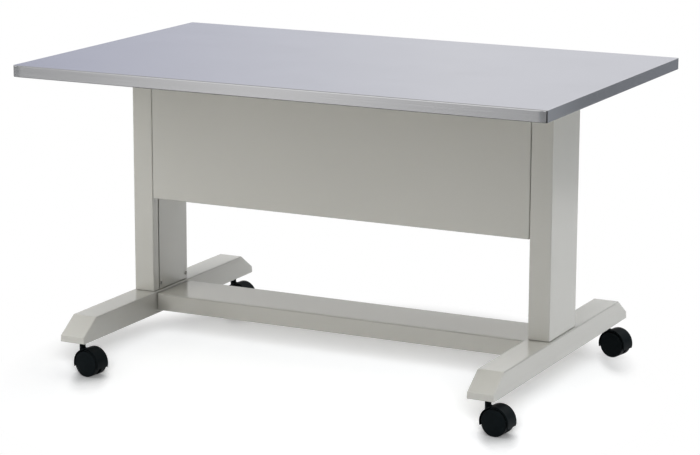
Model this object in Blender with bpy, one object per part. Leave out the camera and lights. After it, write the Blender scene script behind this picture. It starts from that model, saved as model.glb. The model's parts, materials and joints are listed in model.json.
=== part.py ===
"""Instrument table: a stainless top on two steel legs with twin-wheel casters.

Metres, +Z up. The origin lies on the floor under the middle of the top. +X runs along the
top, to the right for someone facing the modesty panel, and the panel's face looks along -Y.
"""

import math

import bmesh
import bpy
from mathutils import Vector

# Whole table
TOP_WIDTH = 1.200
TOP_DEPTH = 0.750
TABLE_HEIGHT = 0.662

# Clearance between pieces that rest on or fit into each other
GAP = 0.0003

# Top: a folded stainless pan around a board
TOP_THICKNESS = 0.025
SKIN_SHEET = 0.0012
SKIN_BEND = 0.003
SKIN_RETURN = 0.015

# Flat bars that carry the top on the columns
BRACKET_INSET = 0.115
BRACKET_THICKNESS = 0.0045
BRACKET_SCREW_INSET = 0.030
BRACKET_SCREW_BITE = 0.014

# Columns
LEG_INSET = 0.130
COLUMN_WIDTH = 0.048
COLUMN_DEPTH = 0.146
COLUMN_SHEET = 0.0016
COLUMN_BEND = 0.0025
COLUMN_STRIP = 0.023
COLUMN_LIP = 0.016
END_PLATE = 0.004
END_PLATE_RECESS = 0.0005
COLUMN_BOLT_SPREAD = 0.080

# Covers on the columns' inner sides
COVER_SHEET = 0.0012
COVER_GROOVE = 0.0015
COVER_END_GAP = 0.001
COVER_SCREW_EDGE = 0.0070
COVER_SCREW_RISE = 0.0134

# Feet
FOOT_WIDTH = 0.058
FOOT_LENGTH = 0.740
FOOT_HEIGHT = 0.049
FOOT_SHEET = 0.002
FOOT_BEND = 0.0025
NOSE_HEIGHT = 0.0145
NOSE_RUN = 0.0515
NOSE_ROUND = 0.008
NOSE_TIP_ROUND = 0.004
SLOPE_ROUND = 0.006

# Stretcher between the feet
STRETCHER_DEPTH = 0.139
STRETCHER_HEIGHT = 0.0372
STRETCHER_DROP = 0.0036
STRETCHER_SHEET = 0.0016
STRETCHER_BEND = 0.0022
STRETCHER_BOLT_SPREAD = 0.090

# Modesty panel between the columns
PANEL_HEIGHT = 0.300
PANEL_TOP_GAP = 0.002
PANEL_SIDE_GAP = 0.0008
PANEL_SHEET = 0.0012
PANEL_BEND = 0.002
PANEL_RETURN = 0.020
PANEL_SCREW_INSET = 0.045

# Casters
CASTER_INSET = 0.040
CASTER_TRAIL = 0.022
WHEEL_RADIUS = 0.0282
WHEEL_WIDTH = 0.0155
WHEEL_DOME = 0.0012
WHEEL_EDGE_ROUND = 0.002
WHEEL_RIM = 0.0045
WHEEL_FACE = 0.0035
HUB_RADIUS = 0.008
WHEEL_SIDE_GAP = 0.0005
AXLE_RADIUS = 0.003
NECK_RADIUS = 0.0066
HOOD_WEB = 0.008
WEB_RADIUS = 0.020
HOOD_GAP = 0.0022
HOOD_WALL = 0.0022
HOOD_SETBACK = 0.0045
HOOD_SKIRT = 0.0085
CROWN_GAP = 0.0157
JOURNAL_RADIUS = 0.0032
STEM_RADIUS = 0.005
COLLAR_RADIUS = 0.008
COLLAR_HEIGHT = 0.002
SOCKET_RECESS = 0.003
SOCKET_PLATE = 0.004
SOCKET_LENGTH = 0.050
BOSS_RADIUS = 0.009
BOSS_HEIGHT = 0.020

# Swivel of each caster at rest, in degrees about +Z. At zero the wheels trail towards +X.
CASTER_TURN = {
    "front_left": -7.0,
    "front_right": -5.0,
    "rear_left": -8.0,
    "rear_right": -11.0,
}

# Fasteners
SCREW_RADIUS = 0.002
SCREW_HEAD_RADIUS = 0.0040
SCREW_HEAD_HEIGHT = 0.0022
SCREW_END = 0.005
BOLT_RADIUS = 0.003
BOLT_HEAD_RADIUS = 0.0055
BOLT_HEAD_HEIGHT = 0.004
BOLT_END = 0.006

# Facets of round shapes
WHEEL_SIDES = 24
HOOD_SIDES = 36
SHAFT_SIDES = 12
SCREW_SIDES = 8
BEND_STEPS = 3

# Heights and places that follow from the sizes above
POCKET_RADIUS = WHEEL_RADIUS + HOOD_GAP
HOOD_RADIUS = POCKET_RADIUS + HOOD_WALL
BORE_RADIUS = JOURNAL_RADIUS + GAP
WHEEL_INNER_FACE = HOOD_WEB / 2 + WHEEL_SIDE_GAP
HOOD_WIDTH = 2 * (WHEEL_INNER_FACE + WHEEL_WIDTH - HOOD_SETBACK)
FOOT_UNDERSIDE = WHEEL_RADIUS + HOOD_RADIUS + CROWN_GAP
FOOT_TOP = FOOT_UNDERSIDE + FOOT_HEIGHT
SOCKET_UNDERSIDE = FOOT_UNDERSIDE + SOCKET_RECESS
SOCKET_TOP = SOCKET_UNDERSIDE + SOCKET_PLATE + BOSS_HEIGHT
COLLAR_TOP = SOCKET_UNDERSIDE - GAP
COLLAR_UNDERSIDE = COLLAR_TOP - COLLAR_HEIGHT
NECK_TOP = COLLAR_UNDERSIDE - GAP
POCKET_RISE = math.sqrt(POCKET_RADIUS**2 - (CASTER_TRAIL - BORE_RADIUS) ** 2)
BORE_BOTTOM = WHEEL_RADIUS + POCKET_RISE + HOOD_WALL / 2
TOP_UNDERSIDE = TABLE_HEIGHT - TOP_THICKNESS
CORE_UNDERSIDE = TOP_UNDERSIDE + SKIN_SHEET + GAP
BRACKET_TOP = CORE_UNDERSIDE - GAP
BRACKET_UNDERSIDE = BRACKET_TOP - BRACKET_THICKNESS
COLUMN_LOW = FOOT_TOP + GAP
COLUMN_HIGH = BRACKET_UNDERSIDE - GAP
END_PLATE_LOW = COLUMN_LOW + END_PLATE_RECESS
LEG_X = TOP_WIDTH / 2 - LEG_INSET
LEG_INNER = LEG_X - COLUMN_WIDTH / 2
FOOT_INNER = LEG_X - FOOT_WIDTH / 2
COLUMN_FRONT = -COLUMN_DEPTH / 2
COVER_STEP = COVER_SHEET + GAP
STRETCHER_TOP = FOOT_TOP - STRETCHER_DROP
STRETCHER_LOW = STRETCHER_TOP - STRETCHER_HEIGHT
STRETCHER_MIDDLE = (STRETCHER_TOP + STRETCHER_LOW) / 2
PANEL_TOP = CORE_UNDERSIDE - PANEL_TOP_GAP
PANEL_LOW = PANEL_TOP - PANEL_HEIGHT
PANEL_SCREW_Y = COLUMN_FRONT + COLUMN_STRIP / 2
CASTER_Y = FOOT_LENGTH / 2 - CASTER_INSET

SIDES = {"left": -1, "right": 1}
ENDS = {"front": -1, "rear": 1}

# How far a cutter reaches past the face that it opens
PAST = 0.010


def clear_scene():
    """Remove what the start-up scene holds."""
    for obj in list(bpy.data.objects):
        bpy.data.objects.remove(obj)


def make_material(name, colour, roughness, metallic):
    """Principled material of one colour."""
    material = bpy.data.materials.new(name)
    material.use_nodes = True
    shader = material.node_tree.nodes["Principled BSDF"]
    shader.inputs["Base Color"].default_value = (*colour, 1.0)
    shader.inputs["Roughness"].default_value = roughness
    shader.inputs["Metallic"].default_value = metallic
    return material


def make_materials():
    """The table's materials by name."""
    return {
        "stainless": make_material("stainless", (0.55, 0.57, 0.60), 0.35, 1.0),
        "board": make_material("board", (0.45, 0.33, 0.20), 0.80, 0.0),
        "painted": make_material("painted_steel", (0.62, 0.60, 0.56), 0.55, 0.0),
        "zinc": make_material("zinc_steel", (0.60, 0.60, 0.60), 0.35, 1.0),
        "nylon": make_material("black_nylon", (0.012, 0.012, 0.013), 0.45, 0.0),
    }


def finish_mesh(bm):
    """Mesh of a bmesh, with its faces turned outwards and round sides shaded smooth."""
    bmesh.ops.remove_doubles(bm, verts=bm.verts, dist=1e-6)
    bmesh.ops.recalc_face_normals(bm, faces=bm.faces)
    mesh = bpy.data.meshes.new("solid")
    bm.to_mesh(mesh)
    bm.free()
    return smoothed(mesh)


def smoothed(mesh):
    """Shade smooth, keeping edges over 32 degrees sharp."""
    mesh.shade_smooth()
    mesh.set_sharp_from_angle(angle=math.radians(32))
    return mesh


def prism(outline, axis, low, high):
    """Solid of a flat outline carried along an axis. The outline holds the other two
    coordinates in order: y and z for X, x and z for Y, x and y for Z."""
    place = {
        "X": lambda a, b: (low, a, b),
        "Y": lambda a, b: (a, low, b),
        "Z": lambda a, b: (a, b, low),
    }[axis]
    along = {"X": Vector((1, 0, 0)), "Y": Vector((0, 1, 0)), "Z": Vector((0, 0, 1))}[axis]
    bm = bmesh.new()
    face = bm.faces.new([bm.verts.new(place(a, b)) for a, b in outline])
    grown = bmesh.ops.extrude_face_region(bm, geom=[face])["geom"]
    moved = [item for item in grown if isinstance(item, bmesh.types.BMVert)]
    bmesh.ops.translate(bm, verts=moved, vec=along * (high - low))
    return finish_mesh(bm)


def box(low, high):
    """Box between two corners."""
    outline = rectangle(low[0], low[1], high[0], high[1])
    return prism(outline, "Z", low[2], high[2])


def rectangle(a_low, b_low, a_high, b_high):
    """Corners of a rectangle, in order."""
    return [(a_low, b_low), (a_high, b_low), (a_high, b_high), (a_low, b_high)]


def circle(a, b, radius, sides):
    """Outline whose flats touch a circle of this radius, so a bore is never too small."""
    reach = radius / math.cos(math.pi / sides)
    angles = [2 * math.pi * (k + 0.5) / sides for k in range(sides)]
    return [(a + reach * math.cos(t), b + reach * math.sin(t)) for t in angles]


def rounded(outline, radii, steps=BEND_STEPS):
    """The outline with some corners rounded. Radii maps a corner's index to its radius."""
    points = []
    for index, corner in enumerate(outline):
        radius = radii.get(index, 0.0)
        here = Vector(corner)
        if not radius:
            points.append(tuple(here))
            continue
        back = (Vector(outline[index - 1]) - here).normalized()
        ahead = (Vector(outline[(index + 1) % len(outline)]) - here).normalized()
        half = back.angle(ahead) / 2
        centre = here + (back + ahead).normalized() * (radius / math.sin(half))
        start = here + back * (radius / math.tan(half)) - centre
        end = here + ahead * (radius / math.tan(half)) - centre
        for step in range(steps + 1):
            direction = start.lerp(end, step / steps).normalized()
            if step in (0, steps):
                direction = (start if step == 0 else end).normalized()
            points.append(tuple(centre + direction * radius))
    return points


def turned(profile, sides, on_flats=False):
    """Solid of revolution about Z of a closed (radius, height) outline. With on_flats the
    flats, not the corners, lie at the given radii."""
    grow = 1 / math.cos(math.pi / sides) if on_flats else 1.0
    start = math.pi / sides
    bm = bmesh.new()
    verts = []
    for radius, height in profile:
        reach = radius * grow
        verts.append(bm.verts.new((reach * math.cos(start), reach * math.sin(start), height)))
    edges = [bm.edges.new((verts[k - 1], verts[k])) for k in range(len(verts))]
    bmesh.ops.spin(
        bm,
        geom=verts + edges,
        cent=(0, 0, 0),
        axis=(0, 0, 1),
        angle=2 * math.pi,
        steps=sides,
        use_merge=True,
    )
    bmesh.ops.dissolve_degenerate(bm, dist=1e-7, edges=bm.edges)
    return finish_mesh(bm)


def softened(mesh, wanted, radius, steps=BEND_STEPS):
    """The mesh with a bend along each edge whose two end points pass the test wanted."""
    bm = bmesh.new()
    bm.from_mesh(mesh)
    edges = [edge for edge in bm.edges if wanted(edge.verts[0].co, edge.verts[1].co)]
    bmesh.ops.bevel(bm, geom=edges, offset=radius, segments=steps, profile=0.5, affect="EDGES")
    return finish_mesh(bm)


def carved(base, cuts=(), joins=()):
    """The base mesh with other meshes joined to it and then cut from it."""
    steps = [("UNION", mesh) for mesh in joins] + [("DIFFERENCE", mesh) for mesh in cuts]
    target = bpy.data.objects.new("carving", base)
    bpy.context.scene.collection.objects.link(target)
    helpers = []
    for operation, mesh in steps:
        helper = bpy.data.objects.new("carver", mesh)
        helper.hide_render = True
        helper.display_type = "WIRE"
        bpy.context.scene.collection.objects.link(helper)
        modifier = target.modifiers.new(operation, "BOOLEAN")
        modifier.operation = operation
        modifier.solver = "EXACT"
        modifier.object = helper
        helpers.append(helper)
    graph = bpy.context.evaluated_depsgraph_get()
    mesh = bpy.data.meshes.new_from_object(target.evaluated_get(graph))
    for obj in (target, *helpers):
        bpy.data.objects.remove(obj)
    return smoothed(mesh)


def place(name, mesh, material, location=(0, 0, 0), rotation=(0, 0, 0), parent=None):
    """Object of a mesh, with its material, in its place."""
    if not mesh.materials or mesh.materials[0] is None:
        mesh.materials.clear()
        mesh.materials.append(material)
    obj = bpy.data.objects.new(name, mesh)
    obj.location = location
    obj.rotation_euler = rotation
    obj.parent = parent
    bpy.context.scene.collection.objects.link(obj)
    return obj


def fastener(head_radius, head_height, radius, length):
    """Screw or bolt: head above the origin and shank below it, with a tapered end."""
    taper = radius * 0.4
    profile = [
        (0, head_height),
        (head_radius * 0.75, head_height),
        (head_radius, head_height * 0.5),
        (head_radius, 0),
        (radius, 0),
        (radius, taper - length),
        (radius - taper, -length),
        (0, -length),
    ]
    return turned(profile, SCREW_SIDES)


def screw(length):
    """Cover, panel or bracket screw with this length of shank."""
    return fastener(SCREW_HEAD_RADIUS, SCREW_HEAD_HEIGHT, SCREW_RADIUS, length)


def bolt(length):
    """Frame bolt with this length of shank."""
    return fastener(BOLT_HEAD_RADIUS, BOLT_HEAD_HEIGHT, BOLT_RADIUS, length)


def hole(axis, a, b, radius, low, high):
    """Cutter for a round hole along an axis."""
    return prism(circle(a, b, radius + GAP, SCREW_SIDES), axis, low, high)


def facing(side):
    """Turn that points a fastener's head along X: side 1 towards +X, side -1 towards -X."""
    return (0, side * math.pi / 2, 0)


def build_top(materials):
    """Folded pan and the board inside it."""
    half_x = TOP_WIDTH / 2
    half_y = TOP_DEPTH / 2
    outer = box((-half_x, -half_y, TOP_UNDERSIDE), (half_x, half_y, TABLE_HEIGHT))
    above = TOP_UNDERSIDE + TOP_THICKNESS / 2

    def bends(a, b):
        return max(a.z, b.z) > above

    outer = softened(outer, bends, SKIN_BEND)
    inside = pan_inside(SKIN_SHEET, TOP_UNDERSIDE + SKIN_SHEET, TABLE_HEIGHT - SKIN_SHEET)
    reach_x = half_x - SKIN_RETURN
    reach_y = half_y - SKIN_RETURN
    mouth = box((-reach_x, -reach_y, TOP_UNDERSIDE - PAST), (reach_x, reach_y, above))
    skin = carved(outer, cuts=[inside, mouth])
    place("top_skin", skin, materials["stainless"])

    core = pan_inside(SKIN_SHEET + GAP, CORE_UNDERSIDE, TABLE_HEIGHT - SKIN_SHEET - GAP)
    pilots = []
    for x, y in bracket_screw_places():
        bottom = CORE_UNDERSIDE + BRACKET_SCREW_BITE + GAP
        pilots.append(hole("Z", x, y, SCREW_RADIUS, CORE_UNDERSIDE - PAST, bottom))
    place("top_core", carved(core, cuts=pilots), materials["board"])


def pan_inside(inset, low, high):
    """Solid that fills the top inside a wall of this thickness, with its upper edges bent."""
    half_x = TOP_WIDTH / 2 - inset
    half_y = TOP_DEPTH / 2 - inset
    middle = (low + high) / 2

    def bends(a, b):
        return max(a.z, b.z) > middle

    radius = max(SKIN_BEND - inset, 0.0005)
    return softened(box((-half_x, -half_y, low), (half_x, half_y, high)), bends, radius)


def bracket_screw_places():
    """Plan position of each bracket screw."""
    y = TOP_DEPTH / 2 - BRACKET_INSET - BRACKET_SCREW_INSET
    return [(side * LEG_X, end * y) for side in SIDES.values() for end in ENDS.values()]


def build_bracket(label, side, materials):
    """Flat bar under the core and its two screws."""
    reach_y = TOP_DEPTH / 2 - BRACKET_INSET
    low = (-COLUMN_WIDTH / 2, -reach_y, BRACKET_UNDERSIDE)
    high = (COLUMN_WIDTH / 2, reach_y, BRACKET_TOP)
    screw_y = reach_y - BRACKET_SCREW_INSET
    holes = []
    for end in ENDS.values():
        holes.append(
            hole("Z", 0, end * screw_y, SCREW_RADIUS, BRACKET_UNDERSIDE - PAST, BRACKET_TOP + PAST)
        )
    place(f"top_bracket_{label}", carved(box(low, high), holes), materials["painted"], (side * LEG_X, 0, 0))
    length = BRACKET_THICKNESS + 2 * GAP + BRACKET_SCREW_BITE
    mesh = screw(length)
    for end_label, end in ENDS.items():
        spot = (side * LEG_X, end * screw_y, BRACKET_UNDERSIDE - GAP)
        place(f"bracket_screw_{label}_{end_label}", mesh, materials["zinc"], spot, (math.pi, 0, 0))


def column_point(side, across, back):
    """Plan point of a column about its leg's middle. Across runs from the outer face towards
    the table's middle, and back runs from the front face to the rear."""
    return (side * (COLUMN_WIDTH / 2 - across), COLUMN_FRONT + back)


def column_outline(side):
    """Bent sheet seen from above: front, outer side and rear, a flush strip beside the front,
    and two lips, set in by the cover, that the cover lies on."""
    sheet = COLUMN_SHEET
    inner = COLUMN_WIDTH
    seat = COLUMN_WIDTH - COVER_STEP
    strip = COLUMN_STRIP
    rear = COLUMN_DEPTH
    corners = [
        (inner, 0),
        (inner, strip),
        (seat, strip),
        (seat, strip + COLUMN_LIP),
        (seat - sheet, strip + COLUMN_LIP),
        (seat - sheet, strip - sheet),
        (inner - sheet, strip - sheet),
        (inner - sheet, sheet),
        (sheet, sheet),
        (sheet, rear - sheet),
        (seat - sheet, rear - sheet),
        (seat - sheet, rear - COLUMN_LIP),
        (seat, rear - COLUMN_LIP),
        (seat, rear),
        (0, rear),
        (0, 0),
    ]
    outline = [column_point(side, across, back) for across, back in corners]
    bend = COLUMN_BEND
    inside = max(bend - sheet, 0.0003)
    last = len(corners) - 1
    return rounded(outline, {0: bend, last: bend, last - 1: bend, 7: inside, 8: inside, 9: inside})


def column_bolt_places():
    """Y of the two bolts in a column's foot."""
    return {label: end * COLUMN_BOLT_SPREAD / 2 for label, end in ENDS.items()}


def cover_screw_places():
    """Distance from the column's front, and height, of each cover screw."""
    front = COLUMN_STRIP + COVER_GROOVE + COVER_SCREW_EDGE
    rear = COLUMN_DEPTH - COVER_SCREW_EDGE
    low = COLUMN_LOW + COVER_SCREW_RISE
    high = COLUMN_HIGH - COVER_SCREW_RISE
    return {
        "low_front": (front, low),
        "low_rear": (rear, low),
        "high_front": (front, high),
        "high_rear": (rear, high),
    }


def build_column(label, side, materials):
    """Column with its end plates, the bolts down into the foot, and the cover."""
    shell = prism(column_outline(side), "Z", COLUMN_LOW, COLUMN_HIGH)
    half = COLUMN_SHEET / 2
    near = column_point(side, half, half)
    far = column_point(side, COLUMN_WIDTH - COVER_STEP - half, COLUMN_DEPTH - half)
    low_x, high_x = sorted((near[0], far[0]))
    plates = []
    for bottom in (END_PLATE_LOW, COLUMN_HIGH - END_PLATE_RECESS - END_PLATE):
        plates.append(box((low_x, near[1], bottom), (high_x, far[1], bottom + END_PLATE)))
    cuts = []
    for y in column_bolt_places().values():
        cuts.append(hole("Z", 0, y, BOLT_RADIUS, COLUMN_LOW - PAST, END_PLATE_LOW + END_PLATE + PAST))
    inner_x = -side * COLUMN_WIDTH / 2
    reach = COVER_STEP + COLUMN_SHEET + PAST
    for back, height in cover_screw_places().values():
        y = COLUMN_FRONT + back
        low, high = sorted((inner_x - side * PAST, inner_x + side * reach))
        cuts.append(hole("X", y, height, SCREW_RADIUS, low, high))
    for height in panel_screw_heights().values():
        low, high = sorted((inner_x - side * PAST, inner_x + side * (COLUMN_SHEET + PAST)))
        cuts.append(hole("X", PANEL_SCREW_Y, height, SCREW_RADIUS, low, high))
    spot = (side * LEG_X, 0, 0)
    place(f"column_{label}", carved(shell, cuts, plates), materials["painted"], spot)

    length = END_PLATE + END_PLATE_RECESS + FOOT_SHEET + 2 * GAP + BOLT_END
    mesh = bolt(length)
    for end_label, y in column_bolt_places().items():
        seat = (side * LEG_X, y, END_PLATE_LOW + END_PLATE + GAP)
        place(f"column_bolt_{label}_{end_label}", mesh, materials["zinc"], seat)
    build_cover(label, side, materials)


def build_cover(label, side, materials):
    """Flat cover in the column's open side, and its four screws."""
    near = column_point(side, COLUMN_WIDTH - COVER_SHEET, COLUMN_STRIP + COVER_GROOVE)
    far = column_point(side, COLUMN_WIDTH, COLUMN_DEPTH)
    low_x, high_x = sorted((near[0], far[0]))
    low = (low_x, near[1], COLUMN_LOW + COVER_END_GAP)
    high = (high_x, far[1], COLUMN_HIGH - COVER_END_GAP)
    holes = []
    for back, height in cover_screw_places().values():
        holes.append(hole("X", COLUMN_FRONT + back, height, SCREW_RADIUS, low_x - PAST, high_x + PAST))
    place(f"column_cover_{label}", carved(box(low, high), holes), materials["painted"], (side * LEG_X, 0, 0))
    mesh = screw(COVER_STEP + COLUMN_SHEET + SCREW_END)
    face_x = side * LEG_INNER - side * GAP
    for screw_label, (back, height) in cover_screw_places().items():
        spot = (face_x, COLUMN_FRONT + back, height)
        place(f"cover_screw_{label}_{screw_label}", mesh, materials["zinc"], spot, facing(-side))


def foot_outline(inset, low):
    """Foot seen from the side: flat top, a slope at each end and a low upright nose."""
    half = FOOT_LENGTH / 2
    slope = math.atan2(FOOT_HEIGHT - NOSE_HEIGHT, NOSE_RUN)
    top = FOOT_TOP - inset
    shoulder = half - NOSE_RUN - inset * math.tan(slope / 2)
    tip = half - inset
    drop = (tip - shoulder) * math.tan(slope)
    corners = [
        (-tip, low),
        (-tip, top - drop),
        (-shoulder, top),
        (shoulder, top),
        (tip, top - drop),
        (tip, low),
    ]
    nose = NOSE_ROUND - inset
    crest = SLOPE_ROUND - inset
    radii = {1: nose, 2: crest, 3: crest, 4: nose}
    if not inset:
        radii.update({0: NOSE_TIP_ROUND, 5: NOSE_TIP_ROUND})
    return rounded(corners, radii)


def build_foot(label, side, materials):
    """Folded foot, open below, with holes for its bolts."""
    half = FOOT_WIDTH / 2
    outer = prism(foot_outline(0.0, FOOT_UNDERSIDE), "X", -half, half)

    def bends(a, b):
        along_side = abs(a.x - b.x) < 1e-6
        low = FOOT_UNDERSIDE + NOSE_TIP_ROUND * 0.9
        return along_side and min(a.z, b.z) > low

    outer = softened(outer, bends, FOOT_BEND)
    wall = half - FOOT_SHEET
    inside = prism(foot_outline(FOOT_SHEET, FOOT_UNDERSIDE - PAST), "X", -wall, wall)
    cuts = [inside]
    for y in column_bolt_places().values():
        cuts.append(hole("Z", 0, y, BOLT_RADIUS, FOOT_TOP - FOOT_SHEET - PAST, FOOT_TOP + PAST))
    low, high = sorted((-side * (wall - PAST), -side * (half + PAST)))
    for end in ENDS.values():
        y = end * STRETCHER_BOLT_SPREAD / 2
        cuts.append(hole("X", y, STRETCHER_MIDDLE, BOLT_RADIUS, low, high))
    place(f"foot_{label}", carved(outer, cuts), materials["painted"], (side * LEG_X, 0, 0))


def build_stretcher(materials):
    """Folded channel between the feet, open below, and the bolts in its end plates."""
    half_y = STRETCHER_DEPTH / 2
    reach = FOOT_INNER - GAP
    bend = STRETCHER_BEND
    outline = rounded(rectangle(-half_y, STRETCHER_LOW, half_y, STRETCHER_TOP), {2: bend, 3: bend})
    outer = prism(outline, "X", -reach, reach)
    sheet = STRETCHER_SHEET
    inside_bend = max(bend - sheet, 0.0003)
    hollow = rectangle(-half_y + sheet, STRETCHER_LOW - PAST, half_y - sheet, STRETCHER_TOP - sheet)
    hollow = rounded(hollow, {2: inside_bend, 3: inside_bend})
    cuts = [prism(hollow, "X", sheet - reach, reach - sheet)]
    for side in SIDES.values():
        low, high = sorted((side * (reach - sheet - PAST), side * (reach + PAST)))
        for end in ENDS.values():
            y = end * STRETCHER_BOLT_SPREAD / 2
            cuts.append(hole("X", y, STRETCHER_MIDDLE, BOLT_RADIUS, low, high))
    place("stretcher", carved(outer, cuts), materials["painted"])

    mesh = bolt(FOOT_SHEET + 2 * GAP + sheet + BOLT_END)
    for label, side in SIDES.items():
        for end_label, end in ENDS.items():
            x = side * (FOOT_INNER + FOOT_SHEET + GAP)
            spot = (x, end * STRETCHER_BOLT_SPREAD / 2, STRETCHER_MIDDLE)
            place(f"stretcher_bolt_{label}_{end_label}", mesh, materials["zinc"], spot, facing(side))


def panel_screw_heights():
    """Height of the upper and lower screw at each end of the panel."""
    return {
        "upper": PANEL_TOP - PANEL_SCREW_INSET,
        "lower": PANEL_LOW + PANEL_SCREW_INSET,
    }


def build_panel(materials):
    """Panel folded back on all four sides, and the screws in its side returns."""
    reach = LEG_INNER - PANEL_SIDE_GAP
    rear = COLUMN_FRONT + PANEL_RETURN
    outer = box((-reach, COLUMN_FRONT, PANEL_LOW), (reach, rear, PANEL_TOP))
    middle = (COLUMN_FRONT + rear) / 2

    def bends(a, b):
        return max(a.y, b.y) < middle

    outer = softened(outer, bends, PANEL_BEND)
    sheet = PANEL_SHEET
    hollow = box(
        (sheet - reach, COLUMN_FRONT + sheet, PANEL_LOW + sheet),
        (reach - sheet, rear + PAST, PANEL_TOP - sheet),
    )
    hollow = softened(hollow, bends, max(PANEL_BEND - sheet, 0.0003))
    cuts = [hollow]
    for side in SIDES.values():
        low, high = sorted((side * (reach - sheet - PAST), side * (reach + PAST)))
        for height in panel_screw_heights().values():
            cuts.append(hole("X", PANEL_SCREW_Y, height, SCREW_RADIUS, low, high))
    place("modesty_panel", carved(outer, cuts), materials["painted"])

    mesh = screw(sheet + GAP + PANEL_SIDE_GAP + COLUMN_SHEET + SCREW_END)
    for label, side in SIDES.items():
        for height_label, height in panel_screw_heights().items():
            spot = (side * (reach - sheet - GAP), PANEL_SCREW_Y, height)
            place(f"panel_screw_{label}_{height_label}", mesh, materials["zinc"], spot, facing(-side))


def socket_mesh():
    """Plate with a boss on it, bored for the stem. The stem's axis is the local Z axis."""
    half_x = FOOT_WIDTH / 2 - FOOT_SHEET - GAP
    half_y = SOCKET_LENGTH / 2
    plate_top = SOCKET_UNDERSIDE + SOCKET_PLATE
    plate = box((-half_x, -half_y, SOCKET_UNDERSIDE), (half_x, half_y, plate_top))
    middle = plate_top - SOCKET_PLATE / 2
    boss = prism(circle(0, 0, BOSS_RADIUS, SHAFT_SIDES), "Z", middle, SOCKET_TOP)
    bore = circle(0, 0, STEM_RADIUS + GAP, SHAFT_SIDES)
    return carved(plate, [prism(bore, "Z", SOCKET_UNDERSIDE - PAST, SOCKET_TOP + PAST)], [boss])


def stem_mesh():
    """Stem with a collar under the socket and a journal that the hood turns on."""
    low = BORE_BOTTOM + GAP
    profile = [
        (0, low),
        (JOURNAL_RADIUS, low),
        (JOURNAL_RADIUS, COLLAR_UNDERSIDE),
        (COLLAR_RADIUS, COLLAR_UNDERSIDE),
        (COLLAR_RADIUS, COLLAR_TOP),
        (STEM_RADIUS, COLLAR_TOP),
        (STEM_RADIUS, SOCKET_TOP),
        (0, SOCKET_TOP),
    ]
    return turned(profile, SHAFT_SIDES)


def hood_mesh():
    """Fender over both wheels with a web between them, a neck on the stem's axis, which is the
    local Z axis, and bores for the journal and the axle. The wheels trail along local +X."""
    drop = math.asin(HOOD_SKIRT / HOOD_RADIUS)
    sweep = math.pi + 2 * drop
    steps = HOOD_SIDES * 5 // 9
    outline = []
    for step in range(steps + 1):
        angle = -drop + sweep * step / steps
        x = CASTER_TRAIL + HOOD_RADIUS * math.cos(angle)
        outline.append((x, WHEEL_RADIUS + HOOD_RADIUS * math.sin(angle)))
    body = prism(outline, "Y", -HOOD_WIDTH / 2, HOOD_WIDTH / 2)
    neck = prism(circle(0, 0, NECK_RADIUS, SHAFT_SIDES), "Z", WHEEL_RADIUS, NECK_TOP)
    web = circle(CASTER_TRAIL, WHEEL_RADIUS, WEB_RADIUS, HOOD_SIDES)
    hub = prism(web, "Y", -WHEEL_INNER_FACE, WHEEL_INNER_FACE)
    pocket = circle(CASTER_TRAIL, WHEEL_RADIUS, POCKET_RADIUS, HOOD_SIDES)
    cuts = [
        prism(pocket, "Y", HOOD_WEB / 2, HOOD_WIDTH),
        prism(pocket, "Y", -HOOD_WIDTH, -HOOD_WEB / 2),
        prism(circle(0, 0, BORE_RADIUS, SHAFT_SIDES), "Z", BORE_BOTTOM, NECK_TOP + PAST),
        prism(circle(CASTER_TRAIL, WHEEL_RADIUS, AXLE_RADIUS + GAP, SHAFT_SIDES), "Y", -PAST, PAST),
    ]
    return carved(body, cuts, [neck, hub])


def axle_mesh():
    """Pin that ends inside both wheels, along local Z."""
    half = WHEEL_INNER_FACE + WHEEL_WIDTH - WHEEL_FACE - WHEEL_DOME - GAP
    profile = [(0, -half), (AXLE_RADIUS, -half), (AXLE_RADIUS, half), (0, half)]
    return turned(profile, SHAFT_SIDES)


def wheel_mesh():
    """Wheel about local Z, its inner face at zero: hub with a blind bore, closed outer face
    that bulges a little, and a rim. A flat of the tread faces local +Y."""
    bore = AXLE_RADIUS + GAP
    face = WHEEL_WIDTH - WHEEL_DOME
    floor = face - WHEEL_FACE
    shoulder = WHEEL_RADIUS - WHEEL_EDGE_ROUND
    bulge = 0.30
    step = 0.0008
    profile = [
        (bore, 0),
        (HUB_RADIUS, 0),
        (HUB_RADIUS, floor),
        (WHEEL_RADIUS - WHEEL_RIM, floor),
        (WHEEL_RADIUS - WHEEL_RIM, 0),
        (WHEEL_RADIUS - step, 0),
        (WHEEL_RADIUS, step),
        (WHEEL_RADIUS, face - WHEEL_EDGE_ROUND),
        (WHEEL_RADIUS - bulge * WHEEL_EDGE_ROUND, face - bulge * WHEEL_EDGE_ROUND),
        (shoulder, face),
        (shoulder / 2, face + WHEEL_DOME * 0.75),
        (0, WHEEL_WIDTH),
        (0, floor),
        (bore, floor),
    ]
    return turned(profile, WHEEL_SIDES, on_flats=True)


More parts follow.
